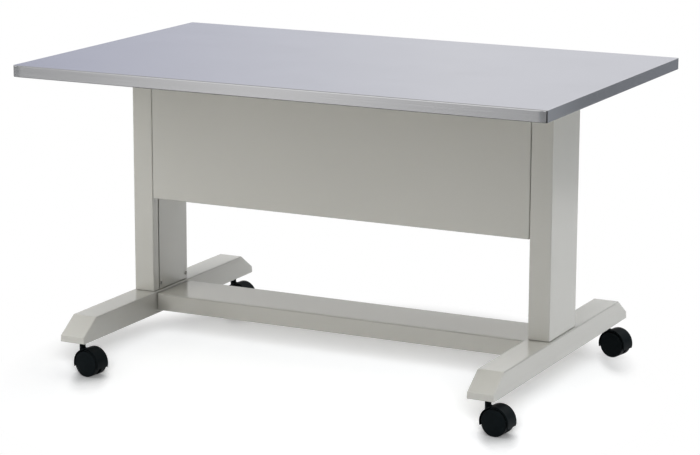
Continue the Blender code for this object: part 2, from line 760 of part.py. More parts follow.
def build_casters(materials):
    """Four casters: socket and stem fixed in the foot, hood on the stem, wheels on the axle."""
    socket = socket_mesh()
    stem = stem_mesh()
    hood = hood_mesh()
    axle = axle_mesh()
    wheel = wheel_mesh()
    quarter = math.pi / 2
    for side_label, side in SIDES.items():
        for end_label, end in ENDS.items():
            label = f"{end_label}_{side_label}"
            spot = (side * LEG_X, end * CASTER_Y, 0)
            place(f"caster_socket_{label}", socket, materials["painted"], spot)
            place(f"caster_stem_{label}", stem, materials["zinc"], spot)
            swivel = bpy.data.objects.new(f"caster_swivel_{label}", None)
            swivel.location = spot
            swivel.rotation_euler = (0, 0, math.radians(CASTER_TURN[label]))
            bpy.context.scene.collection.objects.link(swivel)
            place(f"caster_hood_{label}", hood, materials["nylon"], parent=swivel)
            middle = (CASTER_TRAIL, 0, WHEEL_RADIUS)
            place(f"caster_axle_{label}", axle, materials["zinc"], middle, (-quarter, 0, 0), swivel)
            near = (CASTER_TRAIL, -WHEEL_INNER_FACE, WHEEL_RADIUS)
            far = (CASTER_TRAIL, WHEEL_INNER_FACE, WHEEL_RADIUS)
            place(f"wheel_near_{label}", wheel, materials["nylon"], near, (quarter, 0, 0), swivel)
            place(f"wheel_far_{label}", wheel, materials["nylon"], far, (-quarter, 0, 0), swivel)


def main():
    """Build the table."""
    clear_scene()
    materials = make_materials()
    build_top(materials)
    for label, side in SIDES.items():
        build_bracket(label, side, materials)
        build_column(label, side, materials)
        build_foot(label, side, materials)
    build_stretcher(materials)
    build_panel(materials)
    build_casters(materials)


main()
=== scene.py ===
"""Looks of the wheeled instrument table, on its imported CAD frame.

Each sub-assembly is a class that builds its pieces as numpy surfaces in the frame's own metres and
then dresses them. A piece stands where its CAD node stands, so nothing is fitted by eye.
"""

import json
import logging
import math
from dataclasses import dataclass, field, replace
from enum import Enum
from typing import Any

import bmesh
import bpy
import numpy as np
from mathutils import Matrix, Vector


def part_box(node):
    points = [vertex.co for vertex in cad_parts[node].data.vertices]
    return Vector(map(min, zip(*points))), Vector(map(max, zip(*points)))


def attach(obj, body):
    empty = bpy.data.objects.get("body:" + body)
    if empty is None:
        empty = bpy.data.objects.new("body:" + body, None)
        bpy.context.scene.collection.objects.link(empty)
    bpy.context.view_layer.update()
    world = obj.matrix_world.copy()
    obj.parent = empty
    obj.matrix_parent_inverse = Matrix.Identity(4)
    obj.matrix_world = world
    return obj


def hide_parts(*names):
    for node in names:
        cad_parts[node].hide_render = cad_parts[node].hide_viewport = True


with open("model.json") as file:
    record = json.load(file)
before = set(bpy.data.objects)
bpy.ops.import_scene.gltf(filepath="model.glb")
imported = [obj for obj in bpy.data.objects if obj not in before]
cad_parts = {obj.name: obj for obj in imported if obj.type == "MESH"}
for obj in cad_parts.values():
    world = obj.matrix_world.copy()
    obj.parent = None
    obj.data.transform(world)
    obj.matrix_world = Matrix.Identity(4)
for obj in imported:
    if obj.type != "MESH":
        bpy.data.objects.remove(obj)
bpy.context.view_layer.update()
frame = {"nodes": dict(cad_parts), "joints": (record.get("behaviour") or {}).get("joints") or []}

LOG = logging.getLogger("instrument_table")
FRAME_BODY = "frame"

# Lengths in metres that several pieces share
MERGE = 1e-6
EASE = 0.0003
FLAT_EASE = 0.0008
LEAST_BEND = 0.0003
LEAST_RADIUS = 0.0004

# Facets and angles
ARC_STEPS = 8
PLATE_STEPS = 6
EDGE_ROWS = 5
SHARP_ANGLE = math.radians(38)
QUARTER = math.pi / 2
FULL = 2 * math.pi

Colour = tuple[float, float, float]
Triple = tuple[float, float, float]
Range = tuple[float, float]
Socket = bpy.types.NodeSocket


class Side(Enum):
    """Half of the table, for someone who faces the modesty panel."""

    LEFT = "left"
    RIGHT = "right"

    @property
    def sign(self) -> int:
        """-1 for the left and 1 for the right."""
        return -1 if self is Side.LEFT else 1


class End(Enum):
    """End of a foot: the panel's side or the sitting side."""

    FRONT = "front"
    REAR = "rear"


class Slot(Enum):
    """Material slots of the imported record."""

    STAINLESS = "stainless"
    BOARD = "board"
    PAINTED = "painted_steel"
    ZINC = "zinc_steel"
    NYLON = "black_nylon"


class Drive(Enum):
    """Shape that turns a fastener's head."""

    CROSS = "cross"
    HEXAGON = "hexagon"


# Surfaces


@dataclass
class Surface:
    """Points and faces of one or more closed shells.

    Attributes:
        points: (n, 3) places in metres.
        quads: (m, 4) point numbers.
        caps: outlines of flat many-sided faces, as point numbers.
        wear_and_shade: (n,) from 0 to 1, wear on treads and painted shade on bends and edges.
        sheet: (n, 2) place on the flat sheet before it was folded, in metres.
        slit_and_shade: (n,) from 0 to 1, how far a point lies inside an open seam; it is painted
        as shade there, and on the lower bend of a lip.
    """

    points: np.ndarray
    quads: np.ndarray
    caps: list[np.ndarray] = field(default_factory=list)
    wear_and_shade: np.ndarray | None = None
    sheet: np.ndarray | None = None
    slit_and_shade: np.ndarray | None = None

    def moved(self, matrix: Matrix) -> "Surface":
        """The surface carried through a matrix: point = turn times point, plus shift.

        Args:
            matrix: Turn and shift to apply.

        Returns:
            A surface with the same faces and moved points.
        """
        full = np.array(matrix)
        return replace(self, points=self.points @ full[:3, :3].T + full[:3, 3])

    def marks(self) -> np.ndarray:
        """The wear and painted shade of each point, zero where none was given."""
        return np.zeros(len(self.points)) if self.wear_and_shade is None else self.wear_and_shade

    def mesh(self, name: str) -> bpy.types.Mesh:
        """Put the surface into a mesh, with merged poles, outward faces and smooth bends.

        Args:
            name: Name of the mesh.

        Returns:
            The finished mesh.
        """
        mesh = bpy.data.meshes.new(name)
        faces = [*self.quads.tolist(), *(cap.tolist() for cap in self.caps)]
        mesh.from_pydata(self.points.tolist(), [], faces)
        wear_and_shade = mesh.attributes.new("wear_and_shade", "FLOAT", "POINT")
        wear_and_shade.data.foreach_set("value", self.marks().astype(np.float32))
        if self.slit_and_shade is not None:
            slit_and_shade = mesh.attributes.new("slit_and_shade", "FLOAT", "POINT")
            slit_and_shade.data.foreach_set("value", self.slit_and_shade.astype(np.float32))
        if self.sheet is not None:
            corner = np.zeros(len(mesh.loops), np.int32)
            mesh.loops.foreach_get("vertex_index", corner)
            layer = mesh.uv_layers.new(name="sheet")
            layer.data.foreach_set("uv", self.sheet[corner].astype(np.float32).ravel())
        shell = bmesh.new()
        shell.from_mesh(mesh)
        bmesh.ops.remove_doubles(shell, verts=shell.verts, dist=MERGE)
        bmesh.ops.recalc_face_normals(shell, faces=shell.faces)
        shell.to_mesh(mesh)
        shell.free()
        mesh.shade_smooth()
        mesh.set_sharp_from_angle(angle=SHARP_ANGLE)
        return mesh


def joined(parts: list[Surface]) -> Surface:
    """Several surfaces as one.

    Args:
        parts: Surfaces to put together; their point numbers are shifted one after another.

    Returns:
        One surface that holds all their shells.
    """
    starts = np.cumsum([0, *(len(part.points) for part in parts[:-1])])
    caps = [cap + start for part, start in zip(parts, starts) for cap in part.caps]
    return Surface(
        points=np.concatenate([part.points for part in parts]),
        quads=np.concatenate([part.quads + start for part, start in zip(parts, starts)]),
        caps=caps,
        wear_and_shade=np.concatenate([part.marks() for part in parts]),
    )


def grid_quads(rows: int, columns: int, ring: bool) -> np.ndarray:
    """Quads between neighbouring rows and columns of a grid of points, row after row.

    Args:
        rows: Number of rows.
        columns: Number of columns.
        ring: Whether the last column joins the first.

    Returns:
        (m, 4) point numbers, where point (row, column) has number row * columns + column.
    """
    index = np.arange(rows * columns).reshape(rows, columns)
    if ring:
        index = np.concatenate([index, index[:, :1]], axis=1)
    around = [index[:-1, :-1], index[:-1, 1:], index[1:, 1:], index[1:, :-1]]
    return np.stack(around, axis=-1).reshape(-1, 4)


def axes(across: Triple, along: Triple, out: Triple, origin: Triple) -> Matrix:
    """Matrix that takes local x, y and z to three given directions from an origin."""
    turn = Matrix((across, along, out)).transposed().to_4x4()
    return Matrix.Translation(Vector(origin)) @ turn


def unit(vectors: np.ndarray) -> np.ndarray:
    """Vectors of length one, in the same directions."""
    return vectors / np.linalg.norm(vectors, axis=-1, keepdims=True)


def run_lengths(line: np.ndarray) -> np.ndarray:
    """Distance of each point of a line from its first point, measured along the line."""
    steps = np.linalg.norm(np.diff(line, axis=0), axis=1)
    return np.concatenate([[0.0], np.cumsum(steps)])


def corner_arcs(
    before: np.ndarray, here: np.ndarray, after: np.ndarray, radii: np.ndarray, steps: int, ease: float
) -> np.ndarray:
    """Arcs that round corners.

    The centre lies on the corner's bisector, radius / sin(half angle) away from the corner, and the
    arc turns from the foot of the centre on one side to its foot on the other. A point a little
    before and after each arc keeps the flats next to it flat.

    Args:
        before: (n, 2) points ahead of the corners.
        here: (n, 2) corners.
        after: (n, 2) points that follow the corners.
        radii: (n,) radius of each arc.
        steps: Facets of each arc.
        ease: Distance of the extra points from the arc.

    Returns:
        (n, steps + 3, 2) points.
    """
    back = unit(before - here)
    ahead = unit(after - here)
    half = np.arccos(np.clip((back * ahead).sum(axis=1), -1.0, 1.0)) / 2
    centre = here + unit(back + ahead) * (radii / np.sin(half))[:, None]
    reach = (radii / np.tan(half))[:, None]
    start = here + back * reach - centre
    end = here + ahead * reach - centre
    cross = start[:, 0] * end[:, 1] - start[:, 1] * end[:, 0]
    angle = np.arctan2(cross, (start * end).sum(axis=1))[:, None] * np.linspace(0, 1, steps + 1)
    first = start[:, :1] * np.cos(angle) - start[:, 1:] * np.sin(angle)
    second = start[:, :1] * np.sin(angle) + start[:, 1:] * np.cos(angle)
    arc = centre[:, None] + np.stack([first, second], axis=-1)
    lead = (centre + start + back * ease)[:, None]
    trail = (centre + end + ahead * ease)[:, None]
    return np.concatenate([lead, arc, trail], axis=1)


def rounded_loop(
    corners: np.ndarray, radii: np.ndarray, steps: int = ARC_STEPS, ease: float = EASE
) -> np.ndarray:
    """Closed outline with every corner rounded by corner_arcs.

    Args:
        corners: (n, 2) corners in order.
        radii: (n,) radius at each corner.
        steps: Facets of each arc.
        ease: Distance of the extra points from the arcs.

    Returns:
        (n * (steps + 3), 2) points.
    """
    before = np.roll(corners, 1, axis=0)
    after = np.roll(corners, -1, axis=0)
    return corner_arcs(before, corners, after, radii, steps, ease).reshape(-1, 2)


def rounded_line(
    corners: np.ndarray, radii: np.ndarray, steps: int = ARC_STEPS, ease: float = EASE
) -> np.ndarray:
    """Open line with every inner corner rounded by corner_arcs.

    Args:
        corners: (n, 2) points in order; the first and last stay as they are.
        radii: (n - 2,) radius at each inner corner.
        steps: Facets of each arc.
        ease: Distance of the extra points from the arcs.

    Returns:
        (2 + (n - 2) * (steps + 3), 2) points.
    """
    arcs = corner_arcs(corners[:-2], corners[1:-1], corners[2:], radii, steps, ease)
    return np.concatenate([corners[:1], arcs.reshape(-1, 2), corners[-1:]])


def carried(outline: np.ndarray, stations: np.ndarray, wear_and_shade: np.ndarray | None = None) -> Surface:
    """A closed outline carried along its third axis, with a flat cap at both ends.

    Row k lies at the height of station k and is drawn in by its inset along the outline's normals.

    Args:
        outline: (n, 2) points in order.
        stations: (k, 2) height and inset of each row.
        wear_and_shade: (n,) wear and painted shade of the outline's points.

    Returns:
        The closed surface.
    """
    ahead = np.roll(outline, -1, axis=0)
    area = (outline[:, 0] * ahead[:, 1] - outline[:, 1] * ahead[:, 0]).sum()
    along = ahead - np.roll(outline, 1, axis=0)
    normal = unit(np.stack([along[:, 1], -along[:, 0]], axis=-1)) * np.sign(area)
    flat = outline[None] - normal[None] * stations[:, 1, None, None]
    height = np.broadcast_to(stations[:, 0, None, None], (*flat.shape[:2], 1))
    points = np.concatenate([flat, height], axis=-1).reshape(-1, 3)
    rows, columns = len(stations), len(outline)
    ends = [np.arange(columns), np.arange(columns) + (rows - 1) * columns]
    marks = None if wear_and_shade is None else np.tile(wear_and_shade, rows)
    return Surface(points, grid_quads(rows, columns, ring=True), ends, marks)


def eased_ends(low: float, high: float, edge: float, guard: float = 2.5) -> np.ndarray:
    """Stations for carried() from low to high, both ends rounded over by a quarter circle.

    Args:
        low: First height.
        high: Last height.
        edge: Radius of the quarter circles.
        guard: Distance of the next row from each end, in edges, which keeps the long flat flat.

    Returns:
        (k, 2) heights and insets.
    """
    turn = np.linspace(0, QUARTER, EDGE_ROWS)
    rise = edge * (1 - np.cos(turn))
    inset = edge * (1 - np.sin(turn))
    start = np.stack([low + rise, inset], axis=-1)
    flat = np.array([[low + guard * edge, 0.0], [high - guard * edge, 0.0]])
    stop = np.stack([high - rise, inset], axis=-1)[::-1]
    return np.concatenate([start, flat, stop])


def turned(profile: np.ndarray, columns: int, wear_and_shade: np.ndarray | None = None) -> Surface:
    """A profile turned about local Z: point = (radius cos, radius sin, height).

    Args:
        profile: (k, 2) radius and height; it starts and ends on the axis, or is a closed ring.
        columns: Facets around the axis.
        wear_and_shade: (k,) wear and painted shade of the profile's points.

    Returns:
        The closed surface.
    """
    angle = np.linspace(0, FULL, columns, endpoint=False)
    radius = profile[:, :1]
    height = np.broadcast_to(profile[:, 1:], (len(profile), columns))
    points = np.stack([radius * np.cos(angle), radius * np.sin(angle), height], axis=-1)
    marks = None if wear_and_shade is None else np.repeat(wear_and_shade, columns)
    return Surface(points.reshape(-1, 3), grid_quads(len(profile), columns, ring=True), [], marks)


def folded_pair(outer: np.ndarray, inner: np.ndarray, wear_and_shade: np.ndarray) -> Surface:
    """Closed sheet between two grids of points, joined along their four borders.

    Args:
        outer: (n, m, 3) outside of the sheet.
        inner: (n, m, 3) inside of the sheet.
        wear_and_shade: (n, m) wear and painted shade of the outside.

    Returns:
        The closed surface: both grids, and a strip of quads around the border.
    """
    rows, columns = outer.shape[:2]
    count = rows * columns
    index = np.arange(count).reshape(rows, columns)
    border = np.concatenate([index[0, :-1], index[:-1, -1], index[-1, :0:-1], index[:0:-1, 0]])
    ahead = np.roll(border, -1)
    rim = np.stack([border, ahead, ahead + count, border + count], axis=-1)
    face = grid_quads(rows, columns, ring=False)
    return Surface(
        points=np.concatenate([outer.reshape(-1, 3), inner.reshape(-1, 3)]),
        quads=np.concatenate([face, face[:, ::-1] + count, rim]),
        wear_and_shade=np.concatenate([wear_and_shade.ravel(), np.zeros(count)]),
    )


def round_rectangle(
    half_a: float, half_b: float, radius: float, steps: int, beside: np.ndarray
) -> np.ndarray:
    """Loop around a rectangle with round corners.

    Corner k turns from k to k + 1 quarter turns about a centre that lies one radius inside both
    sides. Extra points lie on the straights, at the given distances before and after each arc.

    Args:
        half_a: Half of the first side.
        half_b: Half of the second side.
        radius: Radius of the corners.
        steps: Facets of a corner.
        beside: Growing distances of the extra points from the arcs.

    Returns:
        (4 * (steps + 1 + 2 * len(beside)), 2) points.
    """
    first = np.arange(4)[:, None] * QUARTER
    angle = first + np.linspace(0, QUARTER, steps + 1)
    centre_a = np.array([1, -1, -1, 1])[:, None] * (half_a - radius)
    centre_b = np.array([1, 1, -1, -1])[:, None] * (half_b - radius)
    arc = np.stack([centre_a + radius * np.cos(angle), centre_b + radius * np.sin(angle)], axis=-1)
    start = np.stack([-np.sin(angle[:, 0]), np.cos(angle[:, 0])], axis=-1)[:, None]
    stop = np.stack([-np.sin(angle[:, -1]), np.cos(angle[:, -1])], axis=-1)[:, None]
    lead = arc[:, :1] - start * beside[None, ::-1, None]
    trail = arc[:, -1:] + stop * beside[None, :, None]
    return np.concatenate([lead, arc, trail], axis=1).reshape(-1, 2)


@dataclass
class Pan:
    """Sheet folded on all four sides into a shallow tray, with an optional lip inside its mouth.

    The face lies at depth zero, local x and y run along its sides, and local z runs into the tray.

    Attributes:
        half_a: Half of the first side.
        half_b: Half of the second side.
        depth: From the face to the mouth.
        sheet: Thickness of the sheet.
        bend: Outer radius of the bends.
        corner: Radius of the corners.
        lip: Width of the lip; zero leaves it out.
        lip_bend: Outer radius of the bend into the lip.
        lip_fillet: Cut across the inner corner behind the lip.
        fold_shade_depth: Where painted shade on the lip's bend begins, in radii from the mouth.
        fold_shade_inset: Where it stops, in radii from the side.
        edge: Break of the cut edges.
        rim: Width of the flat border beside the bends.
        steps: Facets of a bend.
        corner_steps: Facets of a corner.
        seam_depth: Depth of the open seams at the corners.
        seam_share: Width of a seam, as a share of the corner's arc.
        seam_start: Depth at which a seam opens, in bends.
        seam_fade: Depth over which it opens, in bends.
        seam_lip: Share of the lip over which it closes.
        droop: How far the ends of the longer sides are drawn in.
        droop_run: Length over which they are.
        droop_rows: Where that length has rows of points.
        end_bend: Radius of the bends at the two short sides; zero makes them like the others.
    """

    half_a: float
    half_b: float
    depth: float
    sheet: float
    bend: float
    corner: float
    lip: float = 0.0
    lip_bend: float = 0.0015
    lip_fillet: float = 0.0006
    fold_shade_depth: float = 0.75
    fold_shade_inset: float = 1.6
    edge: float = 0.0003
    rim: float = 0.004
    steps: int = ARC_STEPS
    corner_steps: int = ARC_STEPS
    seam_depth: float = 0.0
    seam_share: float = 0.20
    seam_start: float = 0.35
    seam_fade: float = 0.5
    seam_lip: float = 0.3
    droop: float = 0.0
    droop_run: float = 0.008
    droop_rows: tuple[float, ...] = (0.06, 0.15, 0.3, 0.5, 0.75, 1.0)
    end_bend: float = 0.0

    def profile(self) -> np.ndarray:
        """Inset from the sides and depth, from the face over the bend to the mouth and back inside.

        A bend of radius r has inset r (1 - sin t) and depth r (1 - cos t) as t goes from 0 to 90
        degrees.

        Returns:
            (k, 2) insets and depths.
        """
        turn = np.linspace(0, QUARTER, self.steps + 1)
        sine, cosine = np.sin(turn), np.cos(turn)
        inner = max(self.bend - self.sheet, LEAST_BEND)
        eased = self.bend + FLAT_EASE
        face = np.array([[self.bend + self.rim, 0], [eased, 0]])
        bend = np.stack([self.bend * (1 - sine), self.bend * (1 - cosine)], axis=-1)
        wall = np.array([[0, eased]])
        inside = self.sheet + inner * np.stack([1 - sine, 1 - cosine], axis=-1)[::-1]
        floor = np.array([[eased, self.sheet], [self.bend + self.rim, self.sheet]])
        wall_inside = np.array([[self.sheet, eased]])
        parts = [face, bend, wall, self.mouth(sine, cosine), wall_inside, inside, floor]
        return np.concatenate(parts)

    def mouth(self, sine: np.ndarray, cosine: np.ndarray) -> np.ndarray:
        """Part of the profile at the open side: a plain cut edge, or a second bend and a lip.

        Args:
            sine: Sines of the bend's angles.
            cosine: Their cosines.

        Returns:
            (k, 2) insets and depths.
        """
        edge, depth, sheet = self.edge, self.depth, self.sheet
        if not self.lip:
            outer = [[0, depth - 2 * edge], [0, depth - edge], [edge, depth]]
            return np.array([*outer, [sheet - edge, depth], [sheet, depth - edge]])
        radius, lip = self.lip_bend, self.lip
        fold = np.stack([radius * (1 - cosine), depth - radius + radius * sine], axis=-1)
        before = np.array([[0, depth - radius - FLAT_EASE]])
        after = np.array(
            [
                [radius + FLAT_EASE, depth],
                [lip - edge, depth],
                [lip, depth - edge],
                [lip, depth - sheet + edge],
                [lip - edge, depth - sheet],
                [sheet + self.lip_fillet, depth - sheet],
                [sheet, depth - sheet - self.lip_fillet],
            ]
        )
        return np.concatenate([before, fold, after])

    def surface(self) -> Surface:
        """Carry the profile around a rectangle with round corners.

        The unfolded place of a point is the same loop, grown outwards by the sheet's length past
        the bend, so a pattern on it runs over the folds as on the real sheet.

        Returns:
            The closed pan, in its own axes.
        """
        profile = self.profile()
        beside = np.array(self.droop_rows) * self.droop_run
        run = run_lengths(profile) - self.rim
        insets = np.stack([profile[:, 0], self.end_insets(profile)], axis=-1)
        loops = np.stack([self.loop(inset, beside, end_inset) for inset, end_inset in insets])
        flat = np.stack([self.loop(self.bend - length, beside, self.bend - length) for length in run])
        rows, columns = loops.shape[:2]
        slit_and_shade = np.zeros((rows, columns))
        if self.seam_depth:
            loops, slit_and_shade = self.with_seams(loops, profile)
        # Painted shade on the lower half of the lip's bend, which faces down
        if self.lip:
            deep = profile[:, 1] > self.depth - self.fold_shade_depth * self.lip_bend
            fold = deep & (profile[:, 0] < self.fold_shade_inset * self.lip_bend)
            slit_and_shade = np.maximum(slit_and_shade, fold[:, None])
        depth = np.broadcast_to(profile[:, 1][:, None, None], (rows, columns, 1))
        points = np.concatenate([loops, depth], axis=-1).reshape(-1, 3)
        # Points on the bends, which the powder coat darkens as painted shade
        curved = (profile[:, 0] < self.bend) & (profile[:, 1] < self.bend) & (profile[:, 1] > 0)
        wear_and_shade = np.repeat(curved.astype(float), columns)
        ends = [np.arange(columns), np.arange(columns) + (rows - 1) * columns]
        quads = grid_quads(rows, columns, ring=True)
        return Surface(points, quads, ends, wear_and_shade, flat.reshape(-1, 2), slit_and_shade.ravel())

    def end_insets(self, profile: np.ndarray) -> np.ndarray:
        """Insets at the two short sides, where the same depths may follow a tighter bend.

        At depth d inside a bend of radius s the inset is s less the root of s^2 - (s - d)^2. The face's
        two rows and those of the bend come first in the profile.

        Args:
            profile: (k, 2) insets and depths of the long sides.

        Returns:
            (k,) insets of the short sides.
        """
        inset, depth = profile.T
        if not self.end_bend:
            return inset
        left = np.clip(self.end_bend - depth, 0, self.end_bend)
        tight = self.end_bend - np.sqrt(self.end_bend**2 - left**2) + np.maximum(inset - self.bend, 0)
        outside = np.arange(len(profile)) < 2 + self.steps + 1
        return np.where(outside, tight, inset)

    def loop(self, inset: float, beside: np.ndarray, end_inset: float) -> np.ndarray:
        """The pan's outline drawn in by an inset, or grown where it is negative."""
        half_a, half_b, radius = self.half_a - end_inset, self.half_b - inset, self.corner - inset
        return round_rectangle(half_a, half_b, max(radius, LEAST_RADIUS), self.corner_steps, beside)

    def with_seams(self, loops: np.ndarray, profile: np.ndarray) -> tuple[np.ndarray, np.ndarray]:
        """Open a slit where two folded sides meet, with painted shade in it, and draw the longer
        sides' ends in a little.

        The slit pulls a corner's points inwards by depth times exp(-((share - 1/2) / width)^2), where
        share runs from 0 to 1 over the corner's arc. The ends are drawn in by the square of how far
        a point lies inside the last few millimetres, times the sine of the corner's turn, so the short
        sides stay straight. Both fade out over the upper bend.

        Args:
            loops: (k, m, 2) loops of the pan.
            profile: (k, 2) insets and depths.

        Returns:
            The changed loops, and from 0 to 1 how far each point lies inside a slit, which the
            stainless paints as shade.
        """
        gate = np.clip((profile[:, 1] - self.seam_start * self.bend) / (self.seam_fade * self.bend), 0, 1)
        closing = self.seam_lip * max(self.lip, self.sheet)
        lowest = np.clip(1 - (profile[:, 0] - self.sheet) / closing, 0, 1)
        gate = (gate * np.where(profile[:, 0] > self.sheet, lowest, 1.0))[:, None]
        arc = len(self.loop(0.0, np.zeros(0), 0.0)) // 4
        lead = (loops.shape[1] // 4 - arc) // 2
        straight = np.full(lead, np.inf)
        share = np.concatenate([-straight, np.linspace(0, 1, arc), straight])
        slit_and_shade = gate * np.tile(np.exp(-(((share - 0.5) / self.seam_share) ** 2)), 4)[None]
        inwards = -np.sign(loops) / math.sqrt(2)
        near = np.clip(1 - (self.half_a - np.abs(loops[..., 0])) / self.droop_run, 0, 1)
        quarter = np.arange(4)[:, None] + np.clip(share, 0, 1)[None]
        facing = np.abs(np.sin(quarter * QUARTER)).reshape(1, -1)
        sag = gate * self.droop * near**2 * facing
        moved = loops + inwards * (self.seam_depth * slit_and_shade)[..., None]
        moved[..., 1] -= np.sign(loops[..., 1]) * sag
        return moved, slit_and_shade


def plate(half_a: float, half_b: float, thickness: float, corner: float, edge: float) -> Surface:
    """Flat plate with round corners and eased edges, centred on its axes."""
    outline = round_rectangle(half_a, half_b, corner, PLATE_STEPS, np.array([FLAT_EASE]))
    return carried(outline, eased_ends(-thickness / 2, thickness / 2, edge))


# Finishes


class Wiring:
    """Lays out nodes in one tree."""

    def __init__(self, tree: bpy.types.NodeTree) -> None:
        """Start with the nodes that the tree holds."""
        self.tree = tree

    def add(self, kind: str, inputs: dict[Any, Any] | None = None, **settings: Any) -> bpy.types.Node:
        """Add a node.

        Args:
            kind: Node type.
            inputs: Value of each input by name or number; a socket is linked.
            **settings: Properties of the node itself.

        Returns:
            The new node.
        """
        node = self.tree.nodes.new(kind)
        for key, value in settings.items():
            setattr(node, key, value)
        for key, value in (inputs or {}).items():
            self.feed(node, key, value)
        return node

    def feed(self, node: bpy.types.Node, key: Any, value: Any) -> None:
        """Set an input of a node, or link a socket to it.

        Args:
            node: Node that is fed.
            key: Name or number of the input.
            value: Constant or socket.
        """
        if isinstance(value, Socket):
            self.tree.links.new(value, node.inputs[key])
        else:
            node.inputs[key].default_value = value

    def math(self, operation: str, *terms: Any) -> Socket:
        """One sum on sockets and plain numbers."""
        return self.add("ShaderNodeMath", dict(enumerate(terms)), operation=operation).outputs[0]

    def vectors(self, operation: str, *terms: Any) -> Socket:
        """One vector sum on sockets and plain vectors."""
        return self.add("ShaderNodeVectorMath", dict(enumerate(terms)), operation=operation).outputs[0]

    def distance(self, vector: Socket) -> Socket:
        """Length of a vector."""
        return self.add("ShaderNodeVectorMath", {0: vector}, operation="LENGTH").outputs["Value"]

    def place(self, scale: Triple = (1.0, 1.0, 1.0)) -> Socket:
        """Object coordinates, stretched by a scale."""
        source = self.add("ShaderNodeTexCoord").outputs["Object"]
        return self.stretched(source, scale)

    def stretched(self, source: Socket, scale: Triple) -> Socket:
        """Coordinates multiplied by a scale."""
        return self.add("ShaderNodeMapping", {"Vector": source, "Scale": scale}).outputs["Vector"]

    def spread(self, value: Any, low: float, high: float, start: float = 0.3, stop: float = 0.7) -> Socket:
        """A value between start and stop, spread from low to high."""
        return self.add("ShaderNodeMapRange", {0: value, 1: start, 2: stop, 3: low, 4: high}).outputs[0]

    def eased(self, value: Any, low: float, high: float, start: float, stop: float) -> Socket:
        """A value between start and stop, spread from low to high with a soft start and end."""
        values = {0: value, 1: start, 2: stop, 3: low, 4: high}
        return self.add("ShaderNodeMapRange", values, interpolation_type="SMOOTHSTEP").outputs[0]

    def attribute(self, name: str, output: str) -> Socket:
        """A named attribute of the piece."""
        return self.add("ShaderNodeAttribute", attribute_name=name).outputs[output]

    def mixed(self, share: Socket, first: bpy.types.Node, second: bpy.types.Node) -> bpy.types.Node:
        """Two shaders mixed by a share of the second."""
        return self.add("ShaderNodeMixShader", {0: share, 1: first.outputs[0], 2: second.outputs[0]})

    def show(self, shader: bpy.types.Node, kind: str = "ShaderNodeOutputMaterial") -> None:
        """Let a shader be what is seen."""
        self.add(kind, {"Surface": shader.outputs[0]})


def bare_material(name: str) -> tuple[bpy.types.Material, Wiring]:
    """A material that has no nodes yet.

    Args:
        name: Name of the material.

    Returns:
        The material, and what lays out its nodes.
    """
    material = bpy.data.materials.new(name)
    material.use_nodes = True
    material.node_tree.nodes.clear()
    return material, Wiring(material.node_tree)


class Bench(Wiring):
    """Lays out the nodes of one finish around its shader."""

    def __init__(self, name: str) -> None:
        """Start a material that holds a shader and its output.

        Args:
            name: Name of the finish.
        """
        self.material = bpy.data.materials.new(name)
        self.material.use_nodes = True
        super().__init__(self.material.node_tree)
        self.shader = self.tree.nodes["Principled BSDF"]

    def surface(self, **values: Any) -> None:
        """Set the shader's inputs; underscores in a name stand for spaces."""
        for key, value in values.items():
            self.feed(self.shader, key.replace("_", " ").title().replace("Ior", "IOR"), value)

    def sheet(self, scale: Triple) -> Socket:
        """Place on the unfolded sheet, stretched by a scale."""
        source = self.add("ShaderNodeUVMap", uv_map="sheet").outputs["UV"]
        return self.stretched(source, scale)

    def noise(self, vector: Socket, scale: float, detail: float, roughness: float = 0.55) -> Socket:
        """Soft noise from 0 to 1 at a scale in bumps per metre."""
        values = {"Vector": vector, "Scale": scale, "Detail": detail, "Roughness": roughness}
        return self.add("ShaderNodeTexNoise", values).outputs[0]

    def sum_of(self, first: Any, factor: float, second: Any) -> Socket:
        """First times factor, plus second."""
        return self.math("MULTIPLY_ADD", first, factor, second)

    def product(self, first: Any, second: Any) -> Socket:
        """First times second."""
        return self.math("MULTIPLY", first, second)

    def tint(self, share: Socket, low: Colour | Socket, high: Colour | Socket) -> Socket:
        """A colour between two others, by a share from 0 to 1."""
        ends = [(*colour, 1.0) if isinstance(colour, tuple) else colour for colour in (low, high)]
        return self.add("ShaderNodeMix", {0: share, 6: ends[0], 7: ends[1]}, data_type="RGBA").outputs[2]

    def wear_and_shade(self) -> Socket:
        """The wear and painted shade attribute of the piece."""
        return self.attribute("wear_and_shade", "Fac")

    def bump(self, height: Socket, strength: float, distance: float) -> Socket:
        """Normal that follows a height."""
        values = {"Height": height, "Strength": strength, "Distance": distance}
        return self.add("ShaderNodeBump", values).outputs["Normal"]


def scaled(colour: Colour, factor: float) -> Colour:
    """A colour made lighter or darker by a factor."""
    return (colour[0] * factor, colour[1] * factor, colour[2] * factor)


def drifted(colour: Colour, drift: float) -> tuple[Colour, Colour]:
    """A colour a little darker and a little lighter than it is."""
    return scaled(colour, 1 - drift), scaled(colour, 1 + drift)


def both_ways(middle: float, drift: Range) -> Range:
    """A value with its drift down and up."""
    return middle + drift[0], middle + drift[1]


